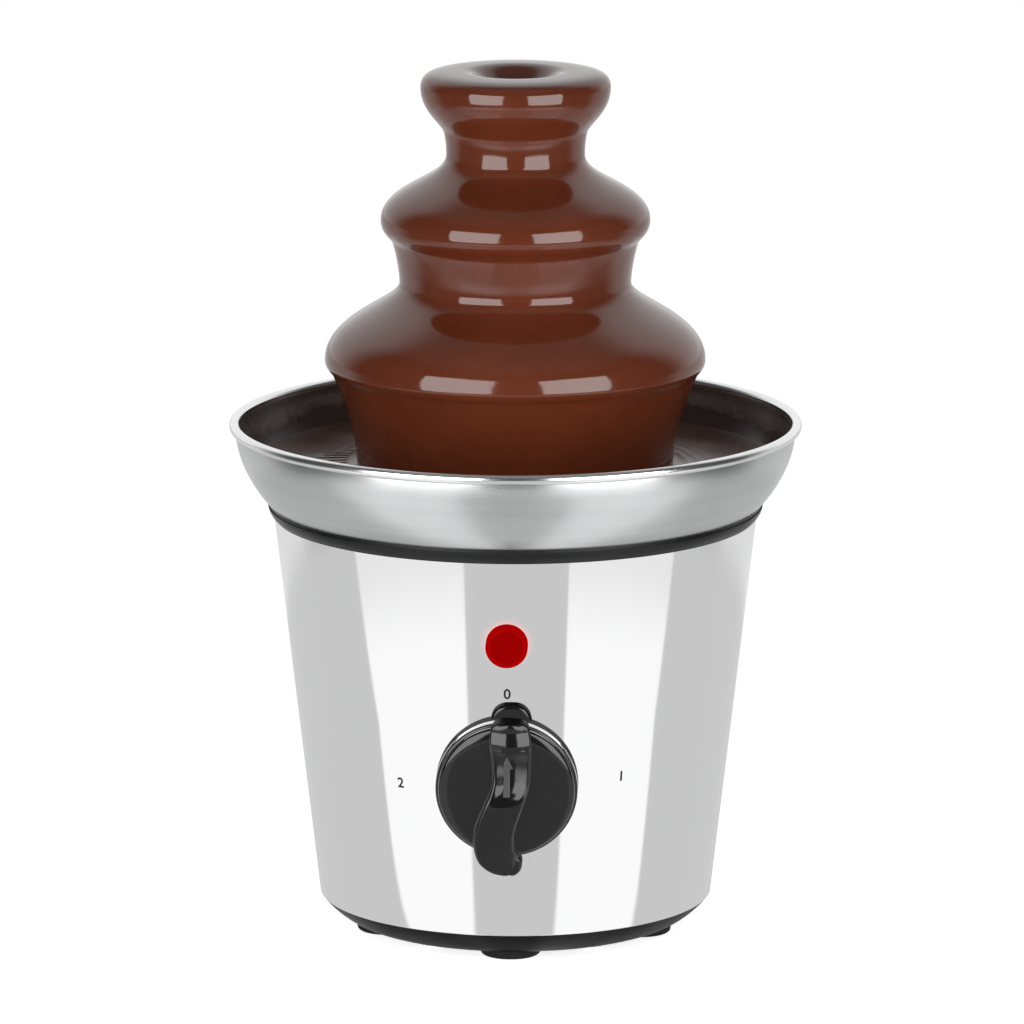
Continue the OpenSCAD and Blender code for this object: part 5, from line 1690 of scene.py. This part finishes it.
    def edge_share(self, graph: Graph, edge: Quad) -> Socket:
        """Finds the inner side of a card's edge.

        Args:
            graph: the floor's nodes.
            edge: the edge's two weights, its offset and how wide it fades.

        Returns:
            1 on the inner side and 0 on the other.
        """
        a, b, offset, soft = edge
        dot = graph.node("VectorMath", {0: graph.place, 1: (a, b, 0.0)}, operation="DOT_PRODUCT")
        return graph.smooth(graph.math("ADD", dot.outputs["Value"], offset), 0.0, soft)

    def card_share(self, graph: Graph) -> Socket:
        """Finds the floor's white cards.

        Args:
            graph: the floor's nodes.

        Returns:
            1 on the cards and 0 beside them.
        """
        shares = []
        for card in self.cards:
            outer = graph.math("MAXIMUM", *(self.edge_share(graph, edge) for edge in card.outer))
            shares.append(graph.math("MULTIPLY", self.edge_share(graph, card.inner), outer))
        return graph.math("MAXIMUM", *shares)

    def toward(self, graph: Graph, turn: float, radius: Any) -> Socket:
        """Finds how far a place on the floor lies towards a turn.

        Args:
            graph: the floor's nodes.
            turn: degrees to the right of the front.
            radius: the place's distance from the axis.

        Returns:
            1 straight in the turn's direction and 0 square to it.
        """
        ahead = self.direction(turn, 0.0)
        along = graph.node("VectorMath", {0: graph.place, 1: ahead}, operation="DOT_PRODUCT")
        return graph.math("DIVIDE", along.outputs["Value"], radius)

    def floor_level(self, graph: Graph, radius: Any) -> Socket:
        """Makes what reflections see of the floor.

        White cards lie near by, then comes a ring with a pool of light under each soft box, and far out
        the floor is dark in front and pale behind.

        Args:
            graph: the floor's nodes.
            radius: distance from the axis.

        Returns:
            The floor's level, where 1 is white.
        """
        facing = self.toward(graph, 0.0, radius)
        lit = graph.math("MAXIMUM", *(self.toward(graph, turn, radius) for turn in self.box_turns))
        ahead = graph.smooth(facing, *self.ahead_edge)
        behind = graph.smooth(facing, *self.behind_edge)
        white = graph.mixed(graph.smooth(radius, *self.card_fade), *self.card_white)
        near = graph.mixed(self.card_share(graph), self.floor_grey, white)
        front, side, back = self.mid_tones
        pooled = graph.mixed(graph.smooth(lit, *self.pool_edge), front, self.box_pool)
        middle = graph.mixed(behind, graph.mixed(ahead, side, pooled), back)
        far = graph.mixed(behind, *self.far_tones)
        level = graph.mixed(graph.smooth(radius, *self.near_end), near, middle)
        return graph.mixed(graph.smooth(radius, *self.mid_end), level, far)

    def floor(self) -> None:
        """Lays the pale floor, which keeps the shadow and shows its cards to reflections."""
        graph = Graph(bpy.data.materials.new("pale_floor"))
        path = graph.node("LightPath").outputs
        radius = graph.node("VectorMath", {0: graph.place}, operation="LENGTH").outputs["Value"]
        ground = graph.node("BsdfDiffuse", {"Color": (*even(self.floor_tone), 1.0)}).outputs[0]
        lift = graph.node("Emission", {"Strength": self.floor_lift}).outputs[0]
        white = graph.node("Emission", {"Strength": 1.0}).outputs[0]
        close = graph.node("AddShader", {0: ground, 1: lift}).outputs[0]
        away = graph.smooth(radius, *self.floor_fade)
        seen = graph.node("MixShader", {0: away, 1: close, 2: white}).outputs[0]
        shown = graph.node("Emission", {"Strength": self.floor_level(graph, radius)}).outputs[0]
        plain = graph.node("MixShader", {0: path["Is Camera Ray"], 1: ground, 2: seen}).outputs[0]
        shiny = graph.math("MAXIMUM", path["Is Glossy Ray"], path["Is Transmission Ray"])
        whole = graph.node("MixShader", {0: shiny, 1: plain, 2: shown}).outputs[0]
        graph.links.new(whole, graph.nodes["Material Output"].inputs["Surface"])
        graph.nodes.remove(graph.nodes["Principled BSDF"])
        bm = bmesh.new()
        bmesh.ops.create_grid(bm, x_segments=2, y_segments=2, size=self.floor_half)
        bmesh.ops.translate(bm, verts=bm.verts, vec=(0, 0, -self.floor_sunk))
        mesh = bpy.data.meshes.new("pale_floor")
        bm.to_mesh(mesh)
        bm.free()
        mesh.materials.append(graph.owner)
        plate = bpy.data.objects.new("pale_floor", mesh)
        bpy.context.collection.objects.link(plate)

    def backdrop(self) -> None:
        """Makes the world: white to the camera, and in reflections dark in front, pale at the sides."""
        world = bpy.data.worlds.new("backdrop")
        bpy.context.scene.world = world
        graph = Graph(world, "Generated")
        path = graph.node("LightPath").outputs
        axes = graph.node("SeparateXYZ", {0: graph.place}).outputs
        forward = graph.math("MULTIPLY", axes[1], -1.0)
        turn = graph.math("ABSOLUTE", graph.math("ARCTAN2", axes[0], forward))
        side = graph.smooth(turn, *(math.radians(a) for a in self.side_turns))
        above = graph.smooth(axes[2], *(math.sin(math.radians(a)) for a in self.above_rises))
        around = graph.mixed(side, self.front_dark, self.side_white)
        shown = graph.mixed(above, around, self.above_grey)
        shiny = graph.math("MAXIMUM", path["Is Glossy Ray"], path["Is Transmission Ray"])
        level = graph.math("MAXIMUM", graph.mixed(shiny, self.fill, shown), path["Is Camera Ray"])
        graph.feed(graph.nodes["Background"], {"Color": (1.0, 1.0, 1.0, 1.0), "Strength": level})

    def build(self) -> None:
        """Sets up camera, lamps, floor and world."""
        self.camera()
        self.lamps()
        self.back_lamp()
        self.floor()
        self.backdrop()
        bpy.context.scene.view_settings.view_transform = "Standard"


def main() -> None:
    """Builds the studio, the new pieces and the finishes in order."""
    logging.basicConfig(level=logging.INFO, format="%(name)s: %(message)s")
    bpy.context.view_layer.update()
    body = Body()
    studio = Studio()
    controls = (Knob(body), PilotLamp(body), DialMarks(body))
    for builder in (studio, body, Bowl(), Tower(), *controls, Solids()):
        LOG.info("building %s", type(builder).__name__)
        builder.build()
    studio.point_glints("steel_shell")


if __name__ == "__main__":
    main()
